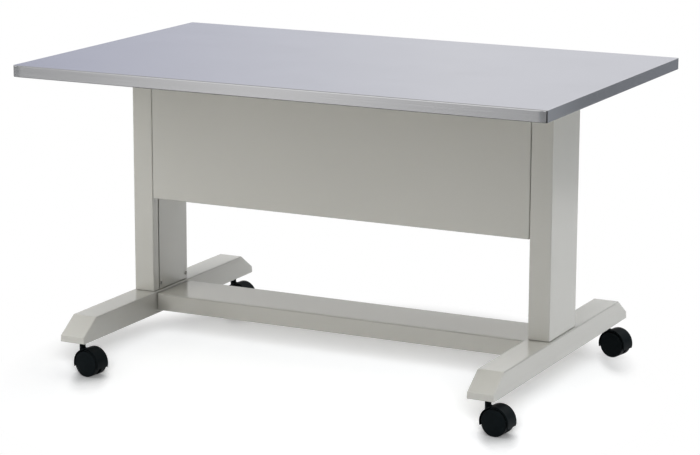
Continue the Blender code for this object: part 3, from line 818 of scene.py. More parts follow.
@dataclass(frozen=True)
class BrushedStainless:
    """Stainless sheet with a fine brush along its length, which runs over the folds."""

    colour: Colour = (0.53, 0.533, 0.54)
    grazing: Colour = (0.93, 0.935, 1.0)
    painted_seam_shade: Colour = (0.025, 0.026, 0.028)
    roughness: float = 0.22
    brush: float = 0.03
    lines: Triple = (4.0, 1500.0, 1.0)
    streaks: Triple = (1.5, 220.0, 1.0)
    wipes: Triple = (5.0, 7.0, 1.0)
    line_share: float = 0.75
    wipe_gloss: float = 0.05
    tone_drift: float = 0.04
    seam_shade_range: Range = (0.1, 0.5)
    stretch: float = 0.5
    stretch_turn: float = 0.25
    relief: float = 0.06
    relief_height: float = 0.00002

    def make(self) -> bpy.types.Material:
        """Build the material.

        Returns:
            Metal with brushed lines in its colour, gloss and relief, faint wiping marks, and painted
            shade in the open seams and on the lip's lower bend.
        """
        bench = Bench("brushed_stainless")
        fine = bench.noise(bench.sheet(self.lines), 1.0, detail=3.0)
        broad = bench.noise(bench.sheet(self.streaks), 1.0, detail=2.0)
        wiped = bench.noise(bench.sheet(self.wipes), 1.0, detail=3.0)
        grain = bench.sum_of(fine, self.line_share, bench.product(broad, 1 - self.line_share))
        dull = bench.spread(grain, self.roughness - self.brush, self.roughness + self.brush)
        dull = bench.sum_of(wiped, self.wipe_gloss, dull)
        dark, pale = drifted(self.colour, self.tone_drift)
        tone = bench.tint(bench.spread(grain, 0, 1), dark, pale)
        # Painted shade: near black in the open corner seams and on the lower bend of the lip
        slit_and_shade = bench.attribute("slit_and_shade", "Fac")
        tone = bench.tint(bench.spread(slit_and_shade, 0, 1, *self.seam_shade_range), tone, self.painted_seam_shade)
        bench.surface(
            base_color=tone,
            roughness=dull,
            metallic=1.0,
            specular_tint=(*self.grazing, 1.0),
            anisotropic=self.stretch,
            anisotropic_rotation=self.stretch_turn,
            tangent=bench.add("ShaderNodeTangent", direction_type="UV_MAP", uv_map="sheet").outputs[0],
            normal=bench.bump(grain, self.relief, self.relief_height),
        )
        return bench.material


@dataclass(frozen=True)
class PowderCoat:
    """Satin powder coat: a faint orange-peel relief, with dust and painted shade along the bends."""

    colour: Colour = (0.59, 0.585, 0.55)
    roughness: float = 0.22
    bend_shade_tone: float = 0.80
    dust_tone: float = 0.55
    tone_drift: float = 0.015
    patches: float = 3.0
    bend_shade_noise: float = 90.0
    bend_shade_least: float = 0.75
    peel: float = 650.0
    peel_gloss: Range = (-0.01, 0.02)
    grit: float = 3800.0
    grit_share: float = 0.25
    speck_range: Range = (0.55, 0.75)
    speck_share: float = 0.02
    ior: float = 1.62
    relief: float = 0.008
    relief_height: float = 0.00012

    def make(self) -> bpy.types.Material:
        """Build the material.

        Returns:
            Paint with a slight drift of tone, fine relief and painted shade as darker lines along the bends.
        """
        bench = Bench("powder_coat")
        place = bench.place()
        drift = bench.noise(place, self.patches, detail=2.0)
        peel = bench.noise(place, self.peel, detail=1.5)
        grit = bench.noise(place, self.grit, detail=1.0)
        dark, pale = drifted(self.colour, self.tone_drift)
        tone = bench.tint(bench.spread(drift, 0, 1), dark, pale)
        speck = bench.spread(grit, 0.0, self.speck_share, *self.speck_range)
        tone = bench.tint(speck, tone, scaled(self.colour, self.dust_tone))
        # Painted shade: darker lines along the bends, broken up by noise
        uneven = bench.spread(bench.noise(place, self.bend_shade_noise, detail=3.0), self.bend_shade_least, 1.0)
        bend_shade = bench.product(bench.wear_and_shade(), uneven)
        tone = bench.tint(bend_shade, tone, scaled(self.colour, self.bend_shade_tone))
        relief = bench.sum_of(grit, self.grit_share, peel)
        bench.surface(
            base_color=tone,
            roughness=bench.spread(peel, *both_ways(self.roughness, self.peel_gloss)),
            ior=self.ior,
            normal=bench.bump(relief, self.relief, self.relief_height),
        )
        return bench.material


@dataclass(frozen=True)
class ZincPlate:
    """Zinc plated steel: grey metal with cloudy patches."""

    colour: Colour = (0.30, 0.30, 0.295)
    bloom: Colour = (0.36, 0.35, 0.32)
    dark_tone: float = 0.82
    roughness: float = 0.24
    clouds: float = 260.0
    cloud_gloss: Range = (-0.06, 0.10)
    grain: float = 4200.0
    relief: float = 0.15
    relief_height: float = 0.00004

    def make(self) -> bpy.types.Material:
        """Build the material.

        Returns:
            Plated metal with a drift of tone and gloss and a fine grain.
        """
        bench = Bench("zinc_plate")
        place = bench.place()
        cloud = bench.noise(place, self.clouds, detail=3.0)
        grain = bench.noise(place, self.grain, detail=2.0)
        bench.surface(
            base_color=bench.tint(bench.spread(cloud, 0, 1), scaled(self.colour, self.dark_tone), self.bloom),
            roughness=bench.spread(cloud, *both_ways(self.roughness, self.cloud_gloss)),
            metallic=1.0,
            normal=bench.bump(grain, self.relief, self.relief_height),
        )
        return bench.material


@dataclass(frozen=True)
class MouldedNylon:
    """Black moulded nylon with a fine spark texture, scuffed grey where it runs on the floor."""

    colour: Colour = (0.0034, 0.0058, 0.0071)
    scuff: Colour = (0.020, 0.0195, 0.019)
    scuff_gloss: float = 0.25
    roughness: float = 0.50
    sheen: float = 0.06
    ior: float = 1.45
    clouds: float = 120.0
    cloud_tone: Range = (0.85, 1.2)
    cloud_gloss: Range = (-0.04, 0.06)
    scratches: float = 420.0
    scratch_range: Range = (0.42, 0.66)
    scratch_share: float = 0.7
    sparks: float = 2600.0
    relief: float = 0.18
    relief_height: float = 0.00006

    def make(self) -> bpy.types.Material:
        """Build the material.

        Returns:
            Dark plastic with a fine relief, uneven gloss and scuffed treads.
        """
        bench = Bench("moulded_nylon")
        place = bench.place()
        spark = bench.noise(place, self.sparks, detail=2.0)
        cloud = bench.noise(place, self.clouds, detail=2.0)
        scratch = bench.noise(place, self.scratches, detail=4.0)
        scratched = bench.spread(scratch, 0.0, self.scratch_share, *self.scratch_range)
        rubbed = bench.product(bench.wear_and_shade(), scratched)
        dark, pale = (scaled(self.colour, factor) for factor in self.cloud_tone)
        tone = bench.tint(bench.spread(cloud, 0, 1), dark, pale)
        dull = bench.spread(cloud, *both_ways(self.roughness, self.cloud_gloss))
        bench.surface(
            base_color=bench.tint(rubbed, tone, self.scuff),
            roughness=bench.sum_of(rubbed, self.scuff_gloss, dull),
            ior=self.ior,
            specular_ior_level=self.sheen,
            normal=bench.bump(spark, self.relief, self.relief_height),
        )
        return bench.material


@dataclass(frozen=True)
class ParticleBoard:
    """Bare particle board: pressed chips of several browns, with fine dust between them."""

    pale: Colour = (0.44, 0.40, 0.30)
    dark: Colour = (0.27, 0.24, 0.17)
    chips: float = 210.0
    chip_stretch: Triple = (1.0, 1.6, 1.0)
    chip_bends: float = 160.0
    chip_bend: float = 0.004
    dust: float = 1300.0
    dust_tone: float = 1.15
    dust_share: float = 0.5
    dust_roughness: Range = (0.72, 0.9)
    chip_relief: float = 0.5
    relief: float = 0.35
    relief_height: float = 0.0004

    def make(self) -> bpy.types.Material:
        """Build the material.

        Returns:
            Board whose chips have their own tone, with a rough, open relief.
        """
        bench = Bench("particle_board")
        place = bench.place(self.chip_stretch)
        drift = bench.add("ShaderNodeTexNoise", {"Vector": place, "Scale": self.chip_bends}).outputs["Color"]
        bend = {0: self.chip_bend, 4: place, 5: drift}
        bent = bench.add("ShaderNodeMix", bend, data_type="VECTOR").outputs[1]
        chip = bench.add("ShaderNodeTexVoronoi", {"Vector": bent, "Scale": self.chips})
        tone = bench.add("ShaderNodeSeparateColor", {"Color": chip.outputs["Color"]}).outputs[0]
        dust = bench.noise(place, self.dust, detail=3.0)
        colour = bench.tint(bench.spread(tone, 0, 1, 0.0, 1.0), self.dark, self.pale)
        dusty = bench.spread(dust, 0.0, self.dust_share)
        colour = bench.tint(dusty, colour, scaled(self.pale, self.dust_tone))
        open_chips = bench.sum_of(chip.outputs["Distance"], self.chip_relief, dust)
        bench.surface(
            base_color=colour,
            roughness=bench.spread(dust, *self.dust_roughness),
            normal=bench.bump(open_chips, self.relief, self.relief_height),
        )
        return bench.material


Finishes = dict[Slot, bpy.types.Material]


def make_finishes() -> Finishes:
    """Make the finish of each material slot.

    Returns:
        The materials by slot.
    """
    return {
        Slot.STAINLESS: BrushedStainless().make(),
        Slot.PAINTED: PowderCoat().make(),
        Slot.ZINC: ZincPlate().make(),
        Slot.NYLON: MouldedNylon().make(),
        Slot.BOARD: ParticleBoard().make(),
    }


# Sub-assemblies


def joint_vector(name: str, key: str) -> Vector:
    """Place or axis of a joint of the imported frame.

    Args:
        name: Name of the joint.
        key: "pos_m" for its place or "axis" for its direction.

    Returns:
        The vector, in metres where it is a place.
    """
    found = next(joint for joint in frame["joints"] if joint["name"] == name)
    return Vector(found[key])


@dataclass
class Assembly:
    """Pieces that are made together, with the finish that each of them gets."""

    pieces: list[tuple[bpy.types.Object, Slot]] = field(default_factory=list, init=False)

    def build(self) -> None:
        """Make the pieces; each sub-assembly has its own way."""
        raise NotImplementedError

    def stand_in(self, node: str, surface: Surface, slot: Slot, body: str = FRAME_BODY) -> None:
        """Make the piece of a surface, which stands for a CAD node and rides on its body.

        Args:
            node: CAD node that isn't shown any more.
            surface: Shape of the piece, in place.
            slot: Finish of the piece.
            body: CAD body that carries it.
        """
        name = f"fine_{node}"
        obj = bpy.data.objects.new(name, surface.mesh(name))
        bpy.context.scene.collection.objects.link(obj)
        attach(obj, body)
        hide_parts(node)
        self.pieces.append((obj, slot))

    def keep(self, node: str, slot: Slot) -> None:
        """Show a CAD node as it is, with a better finish."""
        self.pieces.append((frame["nodes"][node], slot))

    def dress(self, finishes: Finishes) -> None:
        """Give each piece its finish.

        Args:
            finishes: Materials by slot.
        """
        for obj, slot in self.pieces:
            obj.data.materials.clear()
            obj.data.materials.append(finishes[slot])
            LOG.info("%s: %s, %d faces", obj.name, slot.value, len(obj.data.polygons))


@dataclass
class Fastener:
    """Screw or bolt: a driven head above the origin and a threaded shank below it."""

    head_radius: float
    head_height: float
    shank_radius: float
    drive: Drive
    columns: int = 48
    # Thread, with its rows to a turn, and the tapered tip in shank radii
    pitch: float = 0.0008
    thread: float = 0.00022
    thread_start: float = 0.0004
    thread_rows: int = 5
    least_rows: int = 8
    taper_share: float = 0.5
    taper_slope: float = 0.8
    # Low dome and round shoulder of the head, in shares of its radius and height
    crown_share: float = 0.80
    crown_rows: int = 15
    domed_rim: float = 0.55
    shoulder_rows: int = 6
    shoulder_start: float = 0.15
    shoulder_drop: float = 0.45
    # Break under the head's side
    rim_height: float = 0.0003
    rim_break: float = 0.0002
    # Cross recess, in shares of the head's radius, and its depth as a share of the height
    arm_share: float = 0.20
    arm_reach: float = 0.64
    arm_wall: float = 0.07
    arm_depth: float = 0.75

    def head(self) -> np.ndarray:
        """Radius and height of the head's rows, from the middle of its top to the shank.

        Returns:
            (k, 2) profile: a low dome, a round shoulder, the side and the flat underside.
        """
        radius, height = self.head_radius, self.head_height
        crown = np.linspace(0.0, self.crown_share, self.crown_rows)
        rim = self.domed_rim if self.drive is Drive.CROSS else 1.0
        dome = np.stack([crown * radius, height * (1 - (1 - rim) * crown**2)], axis=-1)
        turn = np.linspace(self.shoulder_start, QUARTER, self.shoulder_rows)
        out = radius * (self.crown_share + (1 - self.crown_share) * np.sin(turn))
        down = dome[-1, 1] - self.shoulder_drop * height * (1 - np.cos(turn))
        shoulder = np.stack([out, down], axis=-1)
        side = np.array([[radius, self.rim_height], [radius - self.rim_break, 0.0], [self.shank_radius, 0.0]])
        return np.concatenate([dome, shoulder, side])

    def surface(self, length: float) -> Surface:
        """Whole fastener with this length of shank.

        The shank's radius drops by the thread's depth times a triangle wave of height / pitch plus
        angle / full turn, which winds into a helix. A cross head is sunk where a point lies within
        either arm of the cross. A hexagon head's radius is the smaller of its row's radius and the
        distance of the hexagon's flat at that angle.

        Args:
            length: From the underside of the head to the tip.

        Returns:
            The closed surface about local Z.
        """
        head = self.head()
        taper = self.shank_radius * self.taper_share
        rows = max(int(length / self.pitch * self.thread_rows), self.least_rows)
        down = np.linspace(self.thread_start, length, rows)
        core = self.shank_radius - np.clip(down - (length - taper), 0, taper) * self.taper_slope
        shank = np.stack([core, -down], axis=-1)
        profile = np.concatenate([head, shank, [[0.0, -length]]])
        angle = np.linspace(0, FULL, self.columns, endpoint=False)
        radius = np.repeat(profile[:, :1], self.columns, axis=1)
        height = np.repeat(profile[:, 1:], self.columns, axis=1)
        phase = (height / self.pitch + angle[None] / FULL) % 1.0
        groove = self.thread * np.abs(2 * phase - 1)
        threaded = np.zeros(len(profile), bool)
        threaded[len(head) + 1 : -1] = True
        radius = np.where(threaded[:, None], radius - groove, radius)
        if self.drive is Drive.HEXAGON:
            radius = self.hexagon(radius, angle, len(head) - 1)
        points = np.stack([radius * np.cos(angle), radius * np.sin(angle), height], axis=-1)
        if self.drive is Drive.CROSS:
            points[..., 2] -= self.recess(points) * (np.arange(len(profile)) < self.crown_rows)[:, None]
        return Surface(points.reshape(-1, 3), grid_quads(len(profile), self.columns, ring=True))

    def hexagon(self, radius: np.ndarray, angle: np.ndarray, rows: int) -> np.ndarray:
        """Head rows cut back to a hexagon: flat distance / cos of the angle from the flat's middle.

        Args:
            radius: (k, m) radii of all rows.
            angle: (m,) angles of the columns.
            rows: Number of rows that the head has.

        Returns:
            (k, m) radii.
        """
        flat = self.head_radius * math.cos(math.pi / 6)
        reach = flat / np.cos((angle + math.pi / 6) % (math.pi / 3) - math.pi / 6)
        cut = np.minimum(radius[:rows], reach[None])
        return np.concatenate([cut, radius[rows:]])

    def recess(self, points: np.ndarray) -> np.ndarray:
        """Depth of a cross recess at each point: full inside either arm, fading at its walls.

        Args:
            points: (k, m, 3) points of the fastener.

        Returns:
            (k, m) depths.
        """
        across, along = np.abs(points[..., 0]), np.abs(points[..., 1])
        half = self.head_radius * self.arm_share
        reach = self.head_radius * self.arm_reach
        wall = self.head_radius * self.arm_wall
        first = np.clip((half - across) / wall, 0, 1) * np.clip((reach - along) / wall, 0, 1)
        second = np.clip((half - along) / wall, 0, 1) * np.clip((reach - across) / wall, 0, 1)
        return self.head_height * self.arm_depth * np.maximum(first, second)

    def fitted(self, node: str, out: Vector) -> Surface:
        """The fastener in the place of a CAD node.

        Args:
            node: CAD node of the fastener.
            out: Direction in which the head points, along an axis.

        Returns:
            The surface in place, with the shank's length taken from the node's box.
        """
        low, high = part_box(node)
        middle = (low + high) / 2
        span = abs((high - low).dot(out))
        base = middle + out * (span / 2 - self.head_height)
        turn = out.to_track_quat("Z", "Y").to_matrix().to_4x4()
        return self.surface(span - self.head_height).moved(Matrix.Translation(base) @ turn)


SCREW = Fastener(head_radius=0.0040, head_height=0.0022, shank_radius=0.002, drive=Drive.CROSS)
BOLT = Fastener(
    head_radius=0.0055,
    head_height=0.0040,
    shank_radius=0.003,
    drive=Drive.HEXAGON,
    pitch=0.001,
    thread=0.0003,
)


@dataclass
class TableTop(Assembly):
    """Stainless pan on a board, and the bars that carry it."""

    sheet: float = 0.0012
    bend: float = 0.003
    end_bend: float = 0.0008
    corner: float = 0.0035
    lip: float = 0.015
    seam_depth: float = 0.0045
    lip_bend: float = 0.0018
    droop: float = 0.0034
    droop_run: float = 0.018
    board_corner: float = 0.016
    board_edge: float = 0.0008
    bar_corner: float = 0.003
    bar_edge: float = 0.0006
    corner_steps: int = 32

    def build(self) -> None:
        """Make the skin, the board, the bars and their screws."""
        low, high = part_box("top_skin")
        half = (high - low) / 2
        pan = Pan(
            half_a=half.x,
            half_b=half.y,
            depth=high.z - low.z,
            sheet=self.sheet,
            bend=self.bend,
            corner=self.corner,
            lip=self.lip,
            lip_bend=self.lip_bend,
            corner_steps=self.corner_steps,
            seam_depth=self.seam_depth,
            droop=self.droop,
            droop_run=self.droop_run,
            end_bend=self.end_bend,
        )
        middle = (low + high) / 2
        spot = axes((1, 0, 0), (0, 1, 0), (0, 0, -1), (middle.x, middle.y, high.z))
        self.stand_in("top_skin", pan.surface().moved(spot), Slot.STAINLESS)
        low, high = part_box("top_core")
        half = (high - low) / 2
        board = plate(half.x, half.y, 2 * half.z, self.board_corner, self.board_edge)
        self.stand_in("top_core", board.moved(Matrix.Translation((low + high) / 2)), Slot.BOARD)
        for side in Side:
            self.build_bar(side)

    def build_bar(self, side: Side) -> None:
        """Make one bar under the board, and its two screws.

        Args:
            side: Half of the table that the bar lies in.
        """
        node = f"top_bracket_{side.value}"
        low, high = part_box(node)
        half = (high - low) / 2
        bar = plate(half.x, half.y, 2 * half.z, self.bar_corner, self.bar_edge)
        self.stand_in(node, bar.moved(Matrix.Translation((low + high) / 2)), Slot.PAINTED)
        for end in End:
            screw = f"bracket_screw_{side.value}_{end.value}"
            self.stand_in(screw, SCREW.fitted(screw, Vector((0, 0, -1))), Slot.ZINC)


@dataclass
class Leg(Assembly):
    """Bent column with its end plates, cover, screws and bolts."""

    side: Side = Side.LEFT
    sheet: float = 0.0016
    bend: float = 0.0025
    fold: float = 0.0002
    strip: float = 0.0217
    groove: float = 0.0040
    groove_depth: float = 0.0025
    groove_round: float = 0.0005
    lip: float = 0.0173
    cover_step: float = 0.0015
    plate_thickness: float = 0.004
    plate_recess: float = 0.0005
    plate_corner: float = 0.002
    edge: float = 0.0003
    foot_gap: float = 0.0009
    cover_inset: float = 0.0012
    cover_corner: float = 0.0012
    cover_edge: float = 0.0004

    def outline(self, width: float, depth: float) -> np.ndarray:
        """Bent sheet seen from above, across from the outer face and back from the front.

        Args:
            width: Width of the column.
            depth: Depth of the column.

        Returns:
            (n, 3) corners, each with the radius of its bend.
        """
        sheet, strip, fold = self.sheet, self.strip, self.fold
        seat = width - self.cover_step
        floor = seat - self.groove_depth
        step = strip + self.groove
        front_lip = strip + self.lip
        rear_lip = depth - self.lip
        inner = self.bend - sheet
        front = [
            (width, 0, self.bend),
            (width, strip, self.groove_round),
            (floor, strip, fold),
            (floor, step, fold),
            (seat, step, fold),
            (seat, front_lip, fold),
        ]
        inside = [
            (seat - sheet, front_lip, fold),
            (seat - sheet, step + sheet, fold),
            (floor - sheet, step + sheet, fold),
            (floor - sheet, strip - sheet, fold),
            (width - sheet, strip - sheet, fold),
            (width - sheet, sheet, inner),
            (sheet, sheet, inner),
            (sheet, depth - sheet, inner),
            (seat - sheet, depth - sheet, fold),
            (seat - sheet, rear_lip, fold),
        ]
        rear = [(seat, rear_lip, fold), (seat, depth, fold), (0, depth, self.bend), (0, 0, self.bend)]
        return np.array(front + inside + rear, float)

    def build(self) -> None:
        """Make the column, its cover and their fasteners."""
        label = self.side.value
        sign = self.side.sign
        node = f"column_{label}"
        low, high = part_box(node)
        corners = self.outline(high.x - low.x, high.y - low.y)
        plan = rounded_loop(corners[:, :2], corners[:, 2])
        outer = high.x if sign > 0 else low.x
        plan = np.stack([outer - sign * plan[:, 0], low.y + plan[:, 1]], axis=-1)
        shell = carried(plan, eased_ends(low.z + self.foot_gap, high.z, self.edge))
        ends = [self.end_plate(low, high, z) for z in self.plate_heights(low.z, high.z)]
        self.stand_in(node, joined([shell, *ends]), Slot.PAINTED)
        self.build_cover(label)
        inwards = Vector((-sign, 0, 0))
        for row in ("low", "high"):
            for end in End:
                screw = f"cover_screw_{label}_{row}_{end.value}"
                self.stand_in(screw, SCREW.fitted(screw, inwards), Slot.ZINC)
        for end in End:
            bolt = f"column_bolt_{label}_{end.value}"
            self.stand_in(bolt, BOLT.fitted(bolt, Vector((0, 0, 1))), Slot.ZINC)

    def plate_heights(self, low: float, high: float) -> tuple[float, float]:
        """Middle height of the lower and the upper end plate."""
        inset = self.plate_recess + self.plate_thickness / 2
        return (low + self.foot_gap + inset, high - inset)

    def end_plate(self, low: Vector, high: Vector, height: float) -> Surface:
        """Plate across the inside of the column, held by its sheet.

        Args:
            low: Lowest corner of the column's box.
            high: Highest corner of it.
            height: Height of the plate's middle.

        Returns:
            The plate in place.
        """
        inset = self.sheet / 2
        half_x = (high.x - low.x - self.cover_step) / 2 - inset
        middle = (low + high) / 2 + Vector((self.side.sign * self.cover_step / 2, 0, 0))
        half_y = (high.y - low.y) / 2 - inset
        piece = plate(half_x, half_y, self.plate_thickness, self.plate_corner, self.edge)
        return piece.moved(Matrix.Translation((middle.x, middle.y, height)))

    def build_cover(self, label: str) -> None:
        """Make the flat cover in the column's open side.

        Args:
            label: Name of the column's side.
        """
        node = f"column_cover_{label}"
        low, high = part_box(node)
        low.y += self.cover_inset
        half = (high - low) / 2
        cover = plate(half.y, half.z, 2 * half.x, self.cover_corner, self.cover_edge)
        spot = axes((0, 1, 0), (0, 0, 1), (1, 0, 0), (low + high) / 2)
        self.stand_in(node, cover.moved(spot), Slot.PAINTED)


@dataclass
class Foot(Assembly):
    """Folded foot with a slope and a low nose at both ends, open below, and its bolts."""

    side: Side = Side.LEFT
    sheet: float = 0.002
    bend: float = 0.0025
    # Side view
    nose_height: float = 0.0145
    nose_run: float = 0.0515
    nose_round: float = 0.0018
    tip_round: float = 0.0022
    tip_flange: float = 0.0025
    crest_round: float = 0.005
    joint_rows: float = 0.002
    round_steps: int = 10
    # How the bend grows above the nose, and the rows across the foot
    bend_start: float = 0.001
    bend_grow: float = 0.008
    bend_steps: int = ARC_STEPS
    wall_rows: tuple[float, ...] = (1.0, 0.98, 0.5, 0.04)
    top_ease: float = 0.0012
    # Painted shade: darker lines on the bends beside the flat top, and in the crease along the stretcher
    top_band: float = 0.0005
    flat_limit: float = 0.05
    crease_shade_limit: float = 0.75

    @property
    def joint(self) -> float:
        """Half of the length along which the stretcher touches the foot."""
        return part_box("stretcher")[1].y

    def line(self, tip: float, low: float, top: float) -> np.ndarray:
        """Side view of the foot's upper edge, from under the front nose to under the rear one.

        Args:
            tip: Distance of the noses from the middle.
            low: Height of the underside.
            top: Height of the flat top.

        Returns:
            (n, 2) points, y and z.
        """
        shoulder = tip - self.nose_run
        nose = low + self.nose_height
        flange = self.tip_round + self.tip_flange
        front = [(-tip + flange, low), (-tip, low), (-tip, nose), (-shoulder, top)]
        rear = [(-y, z) for y, z in reversed(front)]
        rounds = [self.tip_round, self.nose_round, self.crest_round]
        corners = np.array(front + rear, float)
        rounded = rounded_line(corners, np.array(rounds + rounds[::-1]), self.round_steps, FLAT_EASE)
        past = self.joint + self.joint_rows
        beside = np.array([-past, -self.joint, self.joint, past])
        flat = np.stack([beside, np.full(len(beside), top)], axis=-1)
        half = len(rounded) // 2
        return np.concatenate([rounded[:half], flat, rounded[half:]])

    def grid(self, line: np.ndarray, half: float, low: float, inset: float) -> tuple[np.ndarray, np.ndarray]:
        """Outside or inside of the folded sheet.

        Each point of the side view spreads across the foot: a flat, then a bend that leaves the line
        by r (1 - cos t) while it moves out to half - r (1 - sin t), then a wall that runs straight
        down to the foot's lower edge. The bend's radius shrinks to nothing under the nose.

        Args:
            line: (n, 2) side view.
            half: Half of the foot's width.
            low: Height of the underside.
            inset: Zero for the outside, and the sheet's thickness for the inside.

        Returns:
            (n, m, 3) points and (n, m) painted shade.
        """
        ahead = np.concatenate([line[1:] - line[:-1], line[-1:] - line[-2:-1]])
        back = np.concatenate([ahead[:1], ahead[:-1]])
        along = unit(unit(ahead) + unit(back))
        normal = np.stack([-along[:, 1], along[:, 0]], axis=-1)
        rise = np.clip((line[:, 1] - low - self.bend_start) / self.bend_grow, 0, 1)
        bend = np.maximum(self.bend * rise**2 * (3 - 2 * rise) - inset, LEAST_RADIUS)[:, None]
        edge = line - normal * inset
        edge[:, 1] = np.maximum(edge[:, 1], low)
        turn = np.linspace(QUARTER, 0, self.bend_steps + 1)
        drop = np.array(self.wall_rows)
        sine = np.concatenate([np.ones(len(drop)), np.sin(turn), [0.0]])
        cosine = np.concatenate([np.zeros(len(drop)), np.cos(turn), [1.0]])
        wall = np.concatenate([drop, np.zeros(len(turn) + 1)])
        ease = np.concatenate([np.zeros(len(drop) + len(turn)), [self.top_ease]])
        halves = (sine, cosine, wall, ease)
        sine, cosine, wall, ease = (np.concatenate([part, part[::-1]])[None] for part in halves)
        sign = np.repeat([-1.0, 1.0], sine.shape[1] // 2)[None]
        x = sign * (half - inset - bend * (1 - sine) - ease)
        leave = bend * (1 - cosine)
        start = edge - normal * bend
        share = run_lengths(line) / run_lengths(line)[-1]
        foot_y = edge[0, 0] + (edge[-1, 0] - edge[0, 0]) * share
        y = edge[:, :1] - normal[:, :1] * leave + wall * (foot_y[:, None] - start[:, :1])
        z = edge[:, 1:] - normal[:, 1:] * leave + wall * (low - start[:, 1:])
        # Painted shade on the bends beside the flat top and in the crease along the stretcher
        on_top = (line[:, 1] > line[:, 1].max() - self.top_band)[:, None]
        covered = (np.abs(line[:, 0]) < self.joint + MERGE)[:, None] & (sign == -self.side.sign)
        bare = (sine > self.flat_limit) & (cosine > self.flat_limit) & ~covered
        crease_shade = covered & (sine > self.crease_shade_limit) & (wall < self.flat_limit)
        wear_and_shade = ((bare | crease_shade) & on_top).astype(float)
        return np.stack([x, y, np.maximum(z, low)], axis=-1), wear_and_shade

    def build(self) -> None:
        """Make the folded foot and the bolts that hold the stretcher to it."""
        label = self.side.value
        node = f"foot_{label}"
        low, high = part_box(node)
        half = (high.x - low.x) / 2
        line = self.line(high.y, low.z, high.z)
        outer, wear_and_shade = self.grid(line, half, low.z, 0.0)
        inner, _ = self.grid(line, half, low.z, self.sheet)
        shell = folded_pair(outer, inner, wear_and_shade)
        middle = Matrix.Translation(((low.x + high.x) / 2, 0, 0))
        self.stand_in(node, shell.moved(middle), Slot.PAINTED)
        for end in End:
            bolt = f"stretcher_bolt_{label}_{end.value}"
            self.stand_in(bolt, BOLT.fitted(bolt, Vector((self.side.sign, 0, 0))), Slot.ZINC)


@dataclass
class Stretcher(Assembly):
    """Low channel between the feet: a tray turned over, folded down on all sides."""

    sheet: float = 0.0016
    bend: float = 0.0022
    corner: float = 0.0016
    end_gap: float = 0.0012

    def build(self) -> None:
        """Make the channel."""
        low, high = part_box("stretcher")
        half = (high - low) / 2
        pan = Pan(half.x - self.end_gap, half.y, high.z - low.z, self.sheet, self.bend, self.corner)
        spot = axes((1, 0, 0), (0, 1, 0), (0, 0, -1), (0, (low.y + high.y) / 2, high.z))
        self.stand_in("stretcher", pan.surface().moved(spot), Slot.PAINTED)


@dataclass
class ModestyPanel(Assembly):
    """Panel between the columns, folded back on all sides, and its screws."""

    sheet: float = 0.0012
    bend: float = 0.002
    corner: float = 0.0015

    def build(self) -> None:
        """Make the panel and its four screws."""
        low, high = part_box("modesty_panel")
        half = (high - low) / 2
        pan = Pan(half.x, half.z, high.y - low.y, self.sheet, self.bend, self.corner)
        spot = axes((1, 0, 0), (0, 0, 1), (0, 1, 0), (0, low.y, (low.z + high.z) / 2))
        self.stand_in("modesty_panel", pan.surface().moved(spot), Slot.PAINTED)
        for side in Side:
            for row in ("upper", "lower"):
                screw = f"panel_screw_{side.value}_{row}"
                self.stand_in(screw, SCREW.fitted(screw, Vector((-side.sign, 0, 0))), Slot.ZINC)


